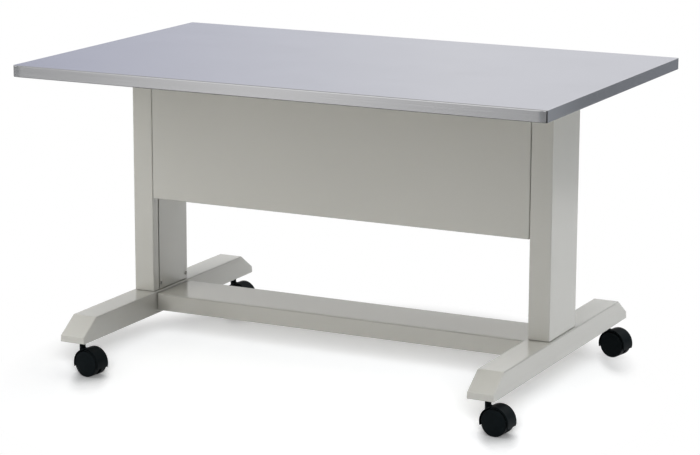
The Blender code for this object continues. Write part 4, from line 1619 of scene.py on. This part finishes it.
@dataclass
class Caster(Assembly):
    """Hooded caster with two wheels. Local x trails from the stem's axis and y is the axle."""

    side: Side = Side.LEFT
    end: End = End.FRONT
    # Hood
    hood_radius: float = 0.0326
    hood_half: float = 0.0185
    hood_round: float = 0.0013
    hood_lip_round: float = 0.0005
    pocket_radius: float = 0.0304
    skirt: float = 0.0085
    section_ease: float = 0.0002
    sweep_rows: int = 72
    sweep_ease: float = 0.02
    # Web between the wheels
    web_half: float = 0.004
    web_radius: float = 0.020
    web_overlap: float = 0.004
    web_round: float = 0.0012
    web_rim_round: float = 0.001
    web_play: float = 0.0001
    web_steps: int = 5
    # Neck, and what it tucks into the hood
    neck_radius: float = 0.0066
    neck_top: float = 0.0769
    neck_rim: float = 0.0008
    neck_flare: float = 0.0030
    neck_lean: float = 0.0016
    neck_rise: float = 0.0045
    neck_sink: float = 0.0001
    neck_rows: int = 12
    bore_radius: float = 0.0035
    bore_bottom: float = 0.0504
    tuck_share: float = 0.6
    tuck_depth: float = 0.0035
    tuck_bottom: float = 0.008
    # Wheels
    wheel_radius: float = 0.0282
    wheel_width: float = 0.0155
    wheel_inner: float = 0.0045
    wheel_columns: int = 96
    dome: float = 0.0012
    edge: float = 0.002
    face_round: float = 0.0018
    face_wall: float = 0.0035
    face_rows: int = 28
    rim: float = 0.0045
    rim_round: float = 0.0005
    hub: float = 0.008
    hub_round: float = 0.0006
    axle_bore: float = 0.0033
    bore_round: float = 0.0003
    pocket_round: float = 0.0012
    tread_round: float = 0.0008
    tread_band: float = 0.0006
    ring_radius: float = 0.0205
    ring_width: float = 0.0005
    ring_depth: float = 0.00025
    # Facets
    columns: int = 64
    round_steps: int = 6

    @property
    def label(self) -> str:
        """Name of the caster's corner of the table."""
        return f"{self.end.value}_{self.side.value}"

    def place(self) -> tuple[Matrix, float]:
        """Where the caster stands.

        Returns:
            Matrix from local axes, with the floor under the stem as origin, and the trail.
        """
        spin = f"{self.label}_near_wheel_spin"
        stem = joint_vector(f"{self.label}_swivel", "pos_m")
        axle = joint_vector(spin, "pos_m")
        trail = Vector((axle.x - stem.x, axle.y - stem.y, 0))
        along = joint_vector(spin, "axis").normalized()
        matrix = axes(trail.normalized(), along, (0, 0, 1), (stem.x, stem.y, 0))
        return matrix, trail.length

    def fender(self, trail: float) -> Surface:
        """Hood over both wheels: a T section carried around the axle from skirt to skirt.

        Args:
            trail: Distance of the axle from the stem's axis.

        Returns:
            The closed hood, with the web between the wheels, in local axes.
        """
        foot = self.web_radius - self.web_overlap
        corners = np.array(
            [
                (self.hood_radius, -self.hood_half, self.hood_round),
                (self.hood_radius, self.hood_half, self.hood_round),
                (self.pocket_radius, self.hood_half, self.hood_lip_round),
                (self.pocket_radius, self.web_half, self.web_round),
                (foot, self.web_half, self.bore_round),
                (foot, -self.web_half, self.bore_round),
                (self.pocket_radius, -self.web_half, self.web_round),
                (self.pocket_radius, -self.hood_half, self.hood_lip_round),
            ]
        )
        section = rounded_loop(corners[:, :2], corners[:, 2], self.round_steps, self.section_ease)
        drop = math.asin(self.skirt / self.hood_radius)
        first, last = -drop, math.pi + drop
        middle = np.linspace(first + self.sweep_ease, last - self.sweep_ease, self.sweep_rows)
        sweep = np.concatenate([[first], middle, [last]])[:, None]
        x = trail + section[:, 0] * np.cos(sweep)
        z = self.wheel_radius + section[:, 0] * np.sin(sweep)
        y = np.broadcast_to(section[:, 1], x.shape)
        rows, columns = x.shape
        caps = [np.arange(columns), np.arange(columns) + (rows - 1) * columns]
        points = np.stack([x, y, z], axis=-1).reshape(-1, 3)
        return Surface(points, grid_quads(rows, columns, ring=True), caps)

    def web(self, trail: float) -> Surface:
        """Round web about the axle, bored for it.

        Args:
            trail: Distance of the axle from the stem's axis.

        Returns:
            The closed ring in local axes.
        """
        half = self.web_half - self.web_play
        corners = np.array(
            [
                (self.axle_bore, -half, self.bore_round),
                (self.web_radius, -half, self.web_rim_round),
                (self.web_radius, half, self.web_rim_round),
                (self.axle_bore, half, self.bore_round),
            ]
        )
        ring = rounded_loop(corners[:, :2], corners[:, 2], self.web_steps)
        ring = np.concatenate([ring, ring[:1]])
        spot = axes((1, 0, 0), (0, 0, -1), (0, 1, 0), (trail, 0, self.wheel_radius))
        return turned(ring, self.columns).moved(spot)

    def neck(self, trail: float) -> Surface:
        """Neck on the stem's axis that flows into the hood.

        Each line down the neck is upright and then turns in a quadratic curve whose middle control
        point lies on the tangent of the hood, so that it meets the hood's round back smoothly. The
        foot of the curve is wider where the hood lies flatter.

        Args:
            trail: Distance of the axle from the stem's axis.

        Returns:
            The closed neck, with the stem's bore, in local axes.
        """
        angle = np.linspace(0, FULL, self.columns, endpoint=False)
        reach = self.neck_radius + self.neck_flare + self.neck_lean * np.cos(angle)
        offset = reach * np.cos(angle) - trail
        height = np.sqrt(self.hood_radius**2 - offset**2)
        slope = -offset / height * np.cos(angle)
        foot = self.wheel_radius + height - self.neck_sink
        bend = foot - (reach - self.neck_radius) * slope
        begin = bend + self.neck_rise
        share = np.linspace(0, 1, self.neck_rows)[:, None]
        curve_r = (1 - share**2) * self.neck_radius + share**2 * reach[None]
        curve_z = (1 - share) ** 2 * begin + 2 * share * (1 - share) * bend + share**2 * foot
        turn = np.linspace(0, QUARTER, self.round_steps)
        shoulder_r = self.neck_radius - self.neck_rim * (1 - np.sin(turn))
        shoulder_z = self.neck_top - self.neck_rim * (1 - np.cos(turn))
        top_r = np.concatenate([[0.0, self.bore_radius, self.bore_radius], shoulder_r])
        top_z = np.concatenate([[self.bore_bottom, self.bore_bottom, self.neck_top], shoulder_z])
        upper_r = np.repeat(top_r[:, None], len(angle), axis=1)
        upper_z = np.repeat(top_z[:, None], len(angle), axis=1)
        under = np.stack([self.tuck_share * reach, 0 * reach])
        bottom = np.full(len(angle), foot.mean() - self.tuck_bottom)
        under_z = np.stack([foot - self.tuck_depth, bottom])
        radius = np.concatenate([upper_r, curve_r, under])
        z = np.concatenate([upper_z, curve_z, under_z])
        points = np.stack([radius * np.cos(angle), radius * np.sin(angle), z], axis=-1)
        return Surface(points.reshape(-1, 3), grid_quads(len(radius), len(angle), ring=True))

    def wheel(self) -> Surface:
        """Wheel about local z, its inner face at zero: blind hub, rim, tread and a domed face.

        The face rises by dome times (1 - share squared) from its shoulder to its middle, with a
        shallow ring groove.

        Returns:
            The closed wheel.
        """
        face = self.wheel_width - self.dome
        floor = face - self.face_wall
        inner = self.wheel_radius - self.rim
        shoulder = self.wheel_radius - 2 * self.edge
        corners = np.array(
            [
                (0.0, floor, 0.0),
                (self.axle_bore, floor, self.bore_round),
                (self.axle_bore, 0.0, self.bore_round),
                (self.hub, 0.0, self.hub_round),
                (self.hub, floor, self.pocket_round),
                (inner, floor, self.pocket_round),
                (inner, 0.0, self.rim_round),
                (self.wheel_radius, 0.0, self.tread_round),
                (self.wheel_radius, face, self.face_round),
                (shoulder, face, 0.0),
            ]
        )
        side = rounded_line(corners[:, :2], corners[1:-1, 2], self.round_steps)
        share = np.linspace(1.0, 0.0, self.face_rows)[1:]
        groove = self.ring_depth * np.exp(-(((share * shoulder - self.ring_radius) / self.ring_width) ** 2))
        crown = np.stack([share * shoulder, face + self.dome * (1 - share**2) - groove], axis=-1)
        profile = np.concatenate([side, crown])
        tread = (profile[:, 0] > self.wheel_radius - self.tread_band).astype(float)
        return turned(profile, self.wheel_columns, tread)

    def build(self) -> None:
        """Make the hood and the wheels, and keep the parts that hold them."""
        spot, trail = self.place()
        body = f"{self.label}_caster"
        hood = joined([self.fender(trail), self.web(trail), self.neck(trail)])
        self.stand_in(f"caster_hood_{self.label}", hood.moved(spot), Slot.NYLON, body)
        wheel = self.wheel()
        for name, sign in (("near", -1), ("far", 1)):
            out = (0, sign, 0)
            inside = axes((1, 0, 0), (0, 0, -sign), out, (trail, sign * self.wheel_inner, self.wheel_radius))
            node = f"wheel_{name}_{self.label}"
            self.stand_in(node, wheel.moved(spot @ inside), Slot.NYLON, f"{self.label}_{name}_wheel")
        self.keep(f"caster_axle_{self.label}", Slot.ZINC)
        self.keep(f"caster_stem_{self.label}", Slot.ZINC)
        self.keep(f"caster_socket_{self.label}", Slot.PAINTED)


# Studio


@dataclass(frozen=True)
class Viewpoint:
    """Camera of the photograph: place in metres, angles in degrees, focal length in pixels."""

    place: Triple = (2.317221, -4.661181, 1.455014)
    yaw: float = 26.421
    pitch: float = 12.486
    roll: float = 0.21
    focal: float = 2486.456
    image_width: int = 700
    sensor: float = 36.0

    def make(self) -> None:
        """Make the camera and set it as the scene's."""
        yaw, pitch, roll = (math.radians(angle) for angle in (self.yaw, self.pitch, self.roll))
        level = math.cos(pitch)
        ahead = Vector((-math.sin(yaw) * level, math.cos(yaw) * level, -math.sin(pitch)))
        right = Vector((math.cos(yaw), math.sin(yaw), 0))
        up = right.cross(ahead)
        across = right * math.cos(roll) + up * math.sin(roll)
        upright = up * math.cos(roll) - right * math.sin(roll)
        data = bpy.data.cameras.new("camera")
        data.sensor_fit = "HORIZONTAL"
        data.sensor_width = self.sensor
        data.lens = self.focal * self.sensor / self.image_width
        camera = bpy.data.objects.new("camera", data)
        camera.matrix_world = axes(across, upright, -ahead, self.place)
        bpy.context.scene.collection.objects.link(camera)
        bpy.context.scene.camera = camera


WHITE = (1.0, 1.0, 1.0, 1.0)
COOL: Colour = (0.97, 0.985, 1.0)
WARM: Colour = (1.0, 0.985, 0.945)


@dataclass(frozen=True)
class Softbox:
    """Large rectangular lamp that looks at a point."""

    name: str
    place: Triple
    target: Triple
    width: float
    height: float
    power: float
    mirrored: bool = False
    colour: Colour = COOL

    def make(self, receivers: bpy.types.Collection) -> None:
        """Make the lamp.

        Args:
            receivers: Names what the lamp lights, or rules out what it doesn't.
        """
        data = bpy.data.lights.new(self.name, "AREA")
        data.shape = "RECTANGLE"
        data.size = self.width
        data.size_y = self.height
        data.energy = self.power
        data.color = self.colour
        lamp = bpy.data.objects.new(self.name, data)
        lamp.visible_glossy = self.mirrored
        lamp.location = self.place
        aim = Vector(self.target) - Vector(self.place)
        lamp.rotation_euler = aim.to_track_quat("-Z", "Y").to_euler()
        lamp.light_linking.receiver_collection = receivers
        bpy.context.scene.collection.objects.link(lamp)


BRIGHT: Colour = (1.0, 1.0, 1.0)
PALE: Colour = (0.98, 0.97, 0.97)
HAZE: Colour = (0.47, 0.49, 0.62)
SILVER: Colour = (0.42, 0.44, 0.46)
SLATE: Colour = (0.28, 0.29, 0.30)
LEAD: Colour = (0.22, 0.23, 0.24)
IRON: Colour = (0.16, 0.17, 0.18)
SOOT: Colour = (0.10, 0.10, 0.11)
COAL: Colour = (0.08, 0.08, 0.09)
GLARE: Colour = (1.3, 1.3, 1.3)


@dataclass(frozen=True)
class Flag:
    """Upright studio board that only reflections see, graded from one end to the other."""

    name: str
    start: tuple[float, float]
    stop: tuple[float, float]
    low: float
    high: float
    start_tone: Colour
    stop_tone: Colour

    def make(self) -> None:
        """Make the board between two points of the floor plan."""
        corners = [
            (*self.start, self.low),
            (*self.stop, self.low),
            (*self.stop, self.high),
            (*self.start, self.high),
        ]
        mesh = bpy.data.meshes.new(self.name)
        mesh.from_pydata(corners, [], [(0, 1, 2, 3)])
        tones = np.array([self.start_tone, self.stop_tone, self.stop_tone, self.start_tone])
        layer = mesh.attributes.new("tone", "FLOAT_VECTOR", "POINT")
        layer.data.foreach_set("vector", tones.astype(np.float32).ravel())
        mesh.materials.append(self.material())
        board = bpy.data.objects.new(self.name, mesh)
        bpy.context.scene.collection.objects.link(board)
        board.visible_camera = False
        board.visible_diffuse = False
        board.visible_transmission = False
        board.visible_shadow = False

    def material(self) -> bpy.types.Material:
        """Even glow in the board's own graded tone.

        Returns:
            The board's material.
        """
        material, wiring = bare_material(self.name)
        wiring.show(wiring.add("ShaderNodeEmission", {"Color": wiring.attribute("tone", "Color")}))
        return material


@dataclass(frozen=True)
class Studio:
    """White floor, soft surrounding light, softboxes and boards.

    Attributes:
        floor_half: Half of the floor's length and width.
        floor_gap: How far the sheet that bounces light lies under the one that is seen.
        floor_colour: Paint of the sheet that bounces light.
        shade_share: Paint of the sheet that is seen.
        lift: Glow of that sheet, which lightens the shadow.
        contact_reach: How far away a covering piece still shades the floor.
        contact_range: Open shares of the sky between which the contact shade fades out.
        contact_tone: Light left in the darkest contact shade.
        caster_reach: The same reach for the soft shade around the casters.
        caster_spot_ahead: How far in front of the wheels the middle of that shade lies.
        caster_spot_turn: Turn of its length, in degrees from straight ahead.
        caster_spot_size: Half of its width and of its length.
        caster_spot_core: Share of that size within which it is full.
        caster_power: Power of the covered share of the sky.
        caster_least: Light left in its darkest place.
        clear_middle: Middle of the oval that keeps the shadow.
        clear_oval: Half of the oval's width and of its depth.
        clear_range: Distances, in ovals, between which the floor turns plain white.
        surround: Even light from all around.
        zenith: Grey of the sky overhead, in reflections.
        zenith_range: Upward directions between which the sky turns to that grey.
        lamps: Softboxes that light the table.
        floor_lamp: Softbox that lights the floor alone.
        flags: Boards that only reflections see.
    """

    floor_half: float = 9.0
    floor_gap: float = 0.0002
    floor_colour: float = 0.72
    shade_share: float = 0.80
    lift: float = 0.42
    contact_reach: float = 0.12
    contact_range: Range = (0.25, 0.95)
    contact_tone: float = 0.45
    caster_reach: float = 0.16
    caster_spot_ahead: float = 0.05
    caster_spot_turn: float = 26.4
    caster_spot_size: Triple = (0.05, 0.15, 1.0)
    caster_spot_core: float = 0.4
    caster_power: float = 0.65
    caster_least: float = 0.6
    clear_middle: Triple = (0.02, -0.16, 0.0)
    clear_oval: Triple = (0.59, 0.60, 1.0)
    clear_range: Range = (1.0, 1.22)
    surround: float = 0.02
    zenith: float = 0.56
    zenith_range: Range = (0.45, 0.95)
    lamps: tuple[Softbox, ...] = (
        Softbox("overhead", (0.2, 0.2, 3.4), (0.1, 0.0, 0.0), 3.6, 3.0, 139.0),
        Softbox("front_left_high", (-2.2, -3.2, 2.4), (0.0, 0.0, 0.4), 1.8, 1.8, 46.0, colour=WARM),
        Softbox("front_left_low", (-2.6, -3.6, 0.9), (0.0, 0.0, 0.4), 2.0, 1.6, 6.0, colour=WARM),
        Softbox("near_left_low", (-1.8, -2.4, 0.8), (0.0, 0.0, 0.4), 1.2, 1.0, 9.0, colour=WARM),
        Softbox("front_overhead", (0.0, -2.4, 3.2), (0.0, -0.1, 0.2), 2.4, 1.6, 17.0, colour=WARM),
        Softbox("right_high", (2.6, 0.3, 2.6), (0.3, 0.0, 0.4), 0.7, 0.7, 8.0, mirrored=True),
        Softbox("right_low", (3.6, 0.8, 1.0), (0.2, 0.0, 0.4), 2.0, 1.6, 29.0),
        Softbox("back_overhead", (0.4, 2.6, 2.8), (0.0, 0.0, 0.3), 2.4, 1.6, 4.0),
        Softbox("left_overhead", (-2.0, -0.6, 3.2), (-0.2, 0.0, 0.2), 1.8, 1.8, 12.5),
    )
    floor_lamp: Softbox = Softbox("floor_front", (2.3, -4.7, 2.2), (0.0, 0.0, 0.0), 2.4, 2.0, 520.0)
    flags: tuple[Flag, ...] = (
        Flag("flag_back", (-2.2, 1.0), (-0.2, 1.0), 0.67, 2.4, HAZE, BRIGHT),
        Flag("flag_back_end", (-2.2, 1.0), (-4.2, 1.0), 0.67, 2.4, HAZE, BRIGHT),
        Flag("flag_back_right", (0.7, 2.1), (1.62, 1.83), 0.0, 0.62, (0.44, 0.46, 0.49), IRON),
        Flag("flag_right_back", (1.62, 1.83), (2.8, 1.45), 0.0, 0.62, IRON, (0.30, 0.31, 0.33)),
        Flag("flag_near_right", (0.777, 0.09), (1.05, -0.02), 0.25, 0.64, SILVER, SILVER),
        Flag("flag_front_left", (-2.2, -2.2), (-1.0, -2.2), 0.0, 0.64, LEAD, PALE),
        Flag("flag_front_right", (0.2, -2.2), (-1.0, -2.2), 0.0, 0.64, LEAD, PALE),
        Flag("flag_front_end", (0.2, -2.2), (1.0, -2.2), 0.0, 0.64, (0.20, 0.21, 0.22), COAL),
        Flag("flag_front_far", (1.0, -2.2), (2.5, -2.6), 0.0, 0.64, COAL, COAL),
        Flag("flag_left_end", (-2.2, -2.2), (-4.2, -1.0), 0.0, 0.64, LEAD, (0.15, 0.155, 0.16)),
        Flag("flag_right_front", (2.5, -2.6), (2.5, -0.5), 0.0, 0.62, SOOT, SOOT),
        Flag("strip_front_end", (-3.2, -2.6), (-2.3, -2.6), 1.0, 3.4, SLATE, SLATE),
        Flag("strip_front_left", (-2.3, -2.6), (-1.95, -2.6), 1.0, 3.4, SLATE, GLARE),
        Flag("strip_front_right", (-1.95, -2.6), (-0.3, -2.6), 1.0, 3.4, GLARE, (1.5, 1.5, 1.5)),
        Flag("strip_back_right", (0.0, 2.6), (2.2, 2.6), 2.0, 2.8, (2.1, 2.1, 2.1), (2.1, 2.1, 2.1)),
    )

    def make(self) -> None:
        """Set the scene up: view settings, world, floor, lamps and boards."""
        bpy.context.scene.view_settings.view_transform = "Standard"
        self.make_world()
        seen_floor = self.make_floor()
        beyond_floor = self.receivers("beyond_floor", seen_floor, "EXCLUDE")
        for lamp in self.lamps:
            lamp.make(beyond_floor)
        self.floor_lamp.make(self.receivers("only_floor", seen_floor, "INCLUDE"))
        for flag in self.flags:
            flag.make()

    def receivers(self, name: str, floor: bpy.types.Object, state: str) -> bpy.types.Collection:
        """Collection that tells a lamp to light the floor alone, or everything but the floor.

        Args:
            name: Name of the collection.
            floor: The floor that is seen.
            state: INCLUDE for the floor alone, or EXCLUDE for everything else.

        Returns:
            The collection.
        """
        collection = bpy.data.collections.new(name)
        collection.objects.link(floor)
        collection.collection_objects[0].light_linking.link_state = state
        return collection

    def seen_directly(self, wiring: Wiring) -> Socket:
        """Tell what is looked at, or mirrored, from what only lights.

        Args:
            wiring: The world's nodes.

        Returns:
            One for camera, glossy and transmission rays, and zero for the rest.
        """
        rays = wiring.add("ShaderNodeLightPath").outputs
        seen = wiring.math("MAXIMUM", rays["Is Camera Ray"], rays["Is Glossy Ray"])
        return wiring.math("MAXIMUM", seen, rays["Is Transmission Ray"])

    def make_world(self) -> None:
        """Soft even light from all around; seen directly it is white, greyer only far overhead."""
        world = bpy.data.worlds.new("surround")
        bpy.context.scene.world = world
        world.use_nodes = True
        world.node_tree.nodes.clear()
        wiring = Wiring(world.node_tree)
        soft = wiring.add("ShaderNodeBackground", {"Strength": self.surround, "Color": WHITE})
        upward = wiring.add("ShaderNodeTexCoord").outputs["Generated"]
        height = wiring.add("ShaderNodeSeparateXYZ", {0: upward}).outputs["Z"]
        grey = wiring.eased(height, 1.0, self.zenith, *self.zenith_range)
        white = wiring.add("ShaderNodeBackground", {"Strength": 1.0, "Color": grey})
        choice = wiring.mixed(self.seen_directly(wiring), soft, white)
        wiring.show(choice, "ShaderNodeOutputWorld")

    def make_floor(self) -> bpy.types.Object:
        """White floor of two sheets: one bounces light on to the table, the other is seen.

        Returns:
            The sheet that is seen, which keeps the table's shadow.
        """
        bounce = self.floor_sheet("floor_bounce", -self.floor_gap)
        bounce.visible_camera = False
        bounce.visible_glossy = False
        bounce.visible_transmission = False
        bounce.data.materials.append(self.bounce_material())
        seen = self.floor_sheet("floor", 0.0)
        seen.visible_diffuse = False
        seen.visible_shadow = False
        seen.data.materials.append(self.floor_material())
        return seen

    def floor_sheet(self, name: str, height: float) -> bpy.types.Object:
        """One large level sheet.

        Args:
            name: Name of the sheet.
            height: Height at which it lies.

        Returns:
            The sheet, which isn't part of the table.
        """
        half = self.floor_half
        mesh = bpy.data.meshes.new(name)
        corners = [(-half, -half, height), (half, -half, height), (half, half, height), (-half, half, height)]
        mesh.from_pydata(corners, [], [(0, 1, 2, 3)])
        sheet = bpy.data.objects.new(name, mesh)
        bpy.context.scene.collection.objects.link(sheet)
        return sheet

    def bounce_material(self) -> bpy.types.Material:
        """Plain white paint that sends light back up.

        Returns:
            The material of the floor that isn't seen.
        """
        material, wiring = bare_material("floor_bounce")
        wiring.show(wiring.add("ShaderNodeBsdfDiffuse", {"Color": (self.floor_colour,) * 3 + (1.0,)}))
        return material

    def floor_material(self) -> bpy.types.Material:
        """White paint with the table's shadow and painted shade near its frame and casters, lifted to
        plain white away from the table.

        Returns:
            The material of the floor that is seen.
        """
        material, wiring = bare_material("floor_white")
        place = wiring.add("ShaderNodeTexCoord").outputs["Object"]
        # Painted shade: the floor's paint and glow are darkened close under the frame and in a spot in front
        # of each caster
        contact = wiring.math("MULTIPLY", self.contact_light(wiring), self.caster_light(wiring, place))
        paint = wiring.math("MULTIPLY", contact, self.shade_share)
        glow = wiring.math("MULTIPLY", contact, self.lift)
        shade = wiring.add("ShaderNodeBsdfDiffuse", {"Color": paint})
        lift = wiring.add("ShaderNodeEmission", {"Strength": glow})
        near = wiring.add("ShaderNodeAddShader", {0: shade.outputs[0], 1: lift.outputs[0]})
        white = wiring.add("ShaderNodeEmission", {"Strength": 1.0})
        beside = wiring.vectors("SUBTRACT", place, self.clear_middle)
        away = wiring.distance(wiring.vectors("DIVIDE", beside, self.clear_oval))
        clear = wiring.eased(away, 0.0, 1.0, *self.clear_range)
        wiring.show(wiring.mixed(clear, near, white))
        return material

    def open_share(self, wiring: Wiring, reach: float) -> Socket:
        """Share of the sky over a place on the floor that nothing within reach covers."""
        return wiring.add("ShaderNodeAmbientOcclusion", {"Distance": reach}).outputs["AO"]

    def contact_light(self, wiring: Wiring) -> Socket:
        """Painted shade under the table's frame: share of the floor's paint and glow left."""
        sky = self.open_share(wiring, self.contact_reach)
        return wiring.eased(sky, self.contact_tone, 1.0, *self.contact_range)

    def caster_light(self, wiring: Wiring, place: Socket) -> Socket:
        """Painted shade around the casters, soft and wide: share of the floor's paint and glow left.

        The share lost is the covered share of the sky to a power, and it fades out towards the rim of a
        long spot in front of each caster. Wrapping the place lays the four spots on one.

        Args:
            wiring: The floor's nodes.
            place: Place on the floor.

        Returns:
            From the least share to one.
        """
        front, rear = (joint_vector(f"{corner}_swivel", "pos_m") for corner in ("front_left", "rear_right"))
        half = (rear - front) / 2
        wheels = joint_vector("front_right_near_wheel_spin", "pos_m") * Vector((1, 1, 0))
        turn = math.radians(self.caster_spot_turn)
        ahead = Vector((math.sin(turn), -math.cos(turn), 0)) * self.caster_spot_ahead
        spot = {
            "Vector": wiring.vectors("WRAP", place, wheels + half, wheels - half),
            "Location": wheels + ahead,
            "Rotation": (0.0, 0.0, turn),
            "Scale": self.caster_spot_size,
        }
        laid = wiring.add("ShaderNodeMapping", spot, vector_type="TEXTURE").outputs[0]
        fade = wiring.eased(wiring.distance(laid), 1.0, 0.0, self.caster_spot_core, 1.0)
        covered = wiring.math("SUBTRACT", 1.0, self.open_share(wiring, self.caster_reach))
        lost = wiring.math("POWER", covered, self.caster_power)
        capped = wiring.math("MINIMUM", lost, 1.0 - self.caster_least)
        return wiring.math("SUBTRACT", 1.0, wiring.math("MULTIPLY", capped, fade))


def main() -> None:
    """Build the table's sub-assemblies in order, dress them and set the studio up."""
    logging.basicConfig(level=logging.INFO, format="%(message)s")
    finishes = make_finishes()
    assemblies: list[Assembly] = [TableTop(), Stretcher(), ModestyPanel()]
    assemblies += [Leg(side=side) for side in Side]
    assemblies += [Foot(side=side) for side in Side]
    assemblies += [Caster(side=side, end=end) for side in Side for end in End]
    for assembly in assemblies:
        assembly.build()
        assembly.dress(finishes)
    Viewpoint().make()
    Studio().make()


if __name__ == "__main__":
    main()
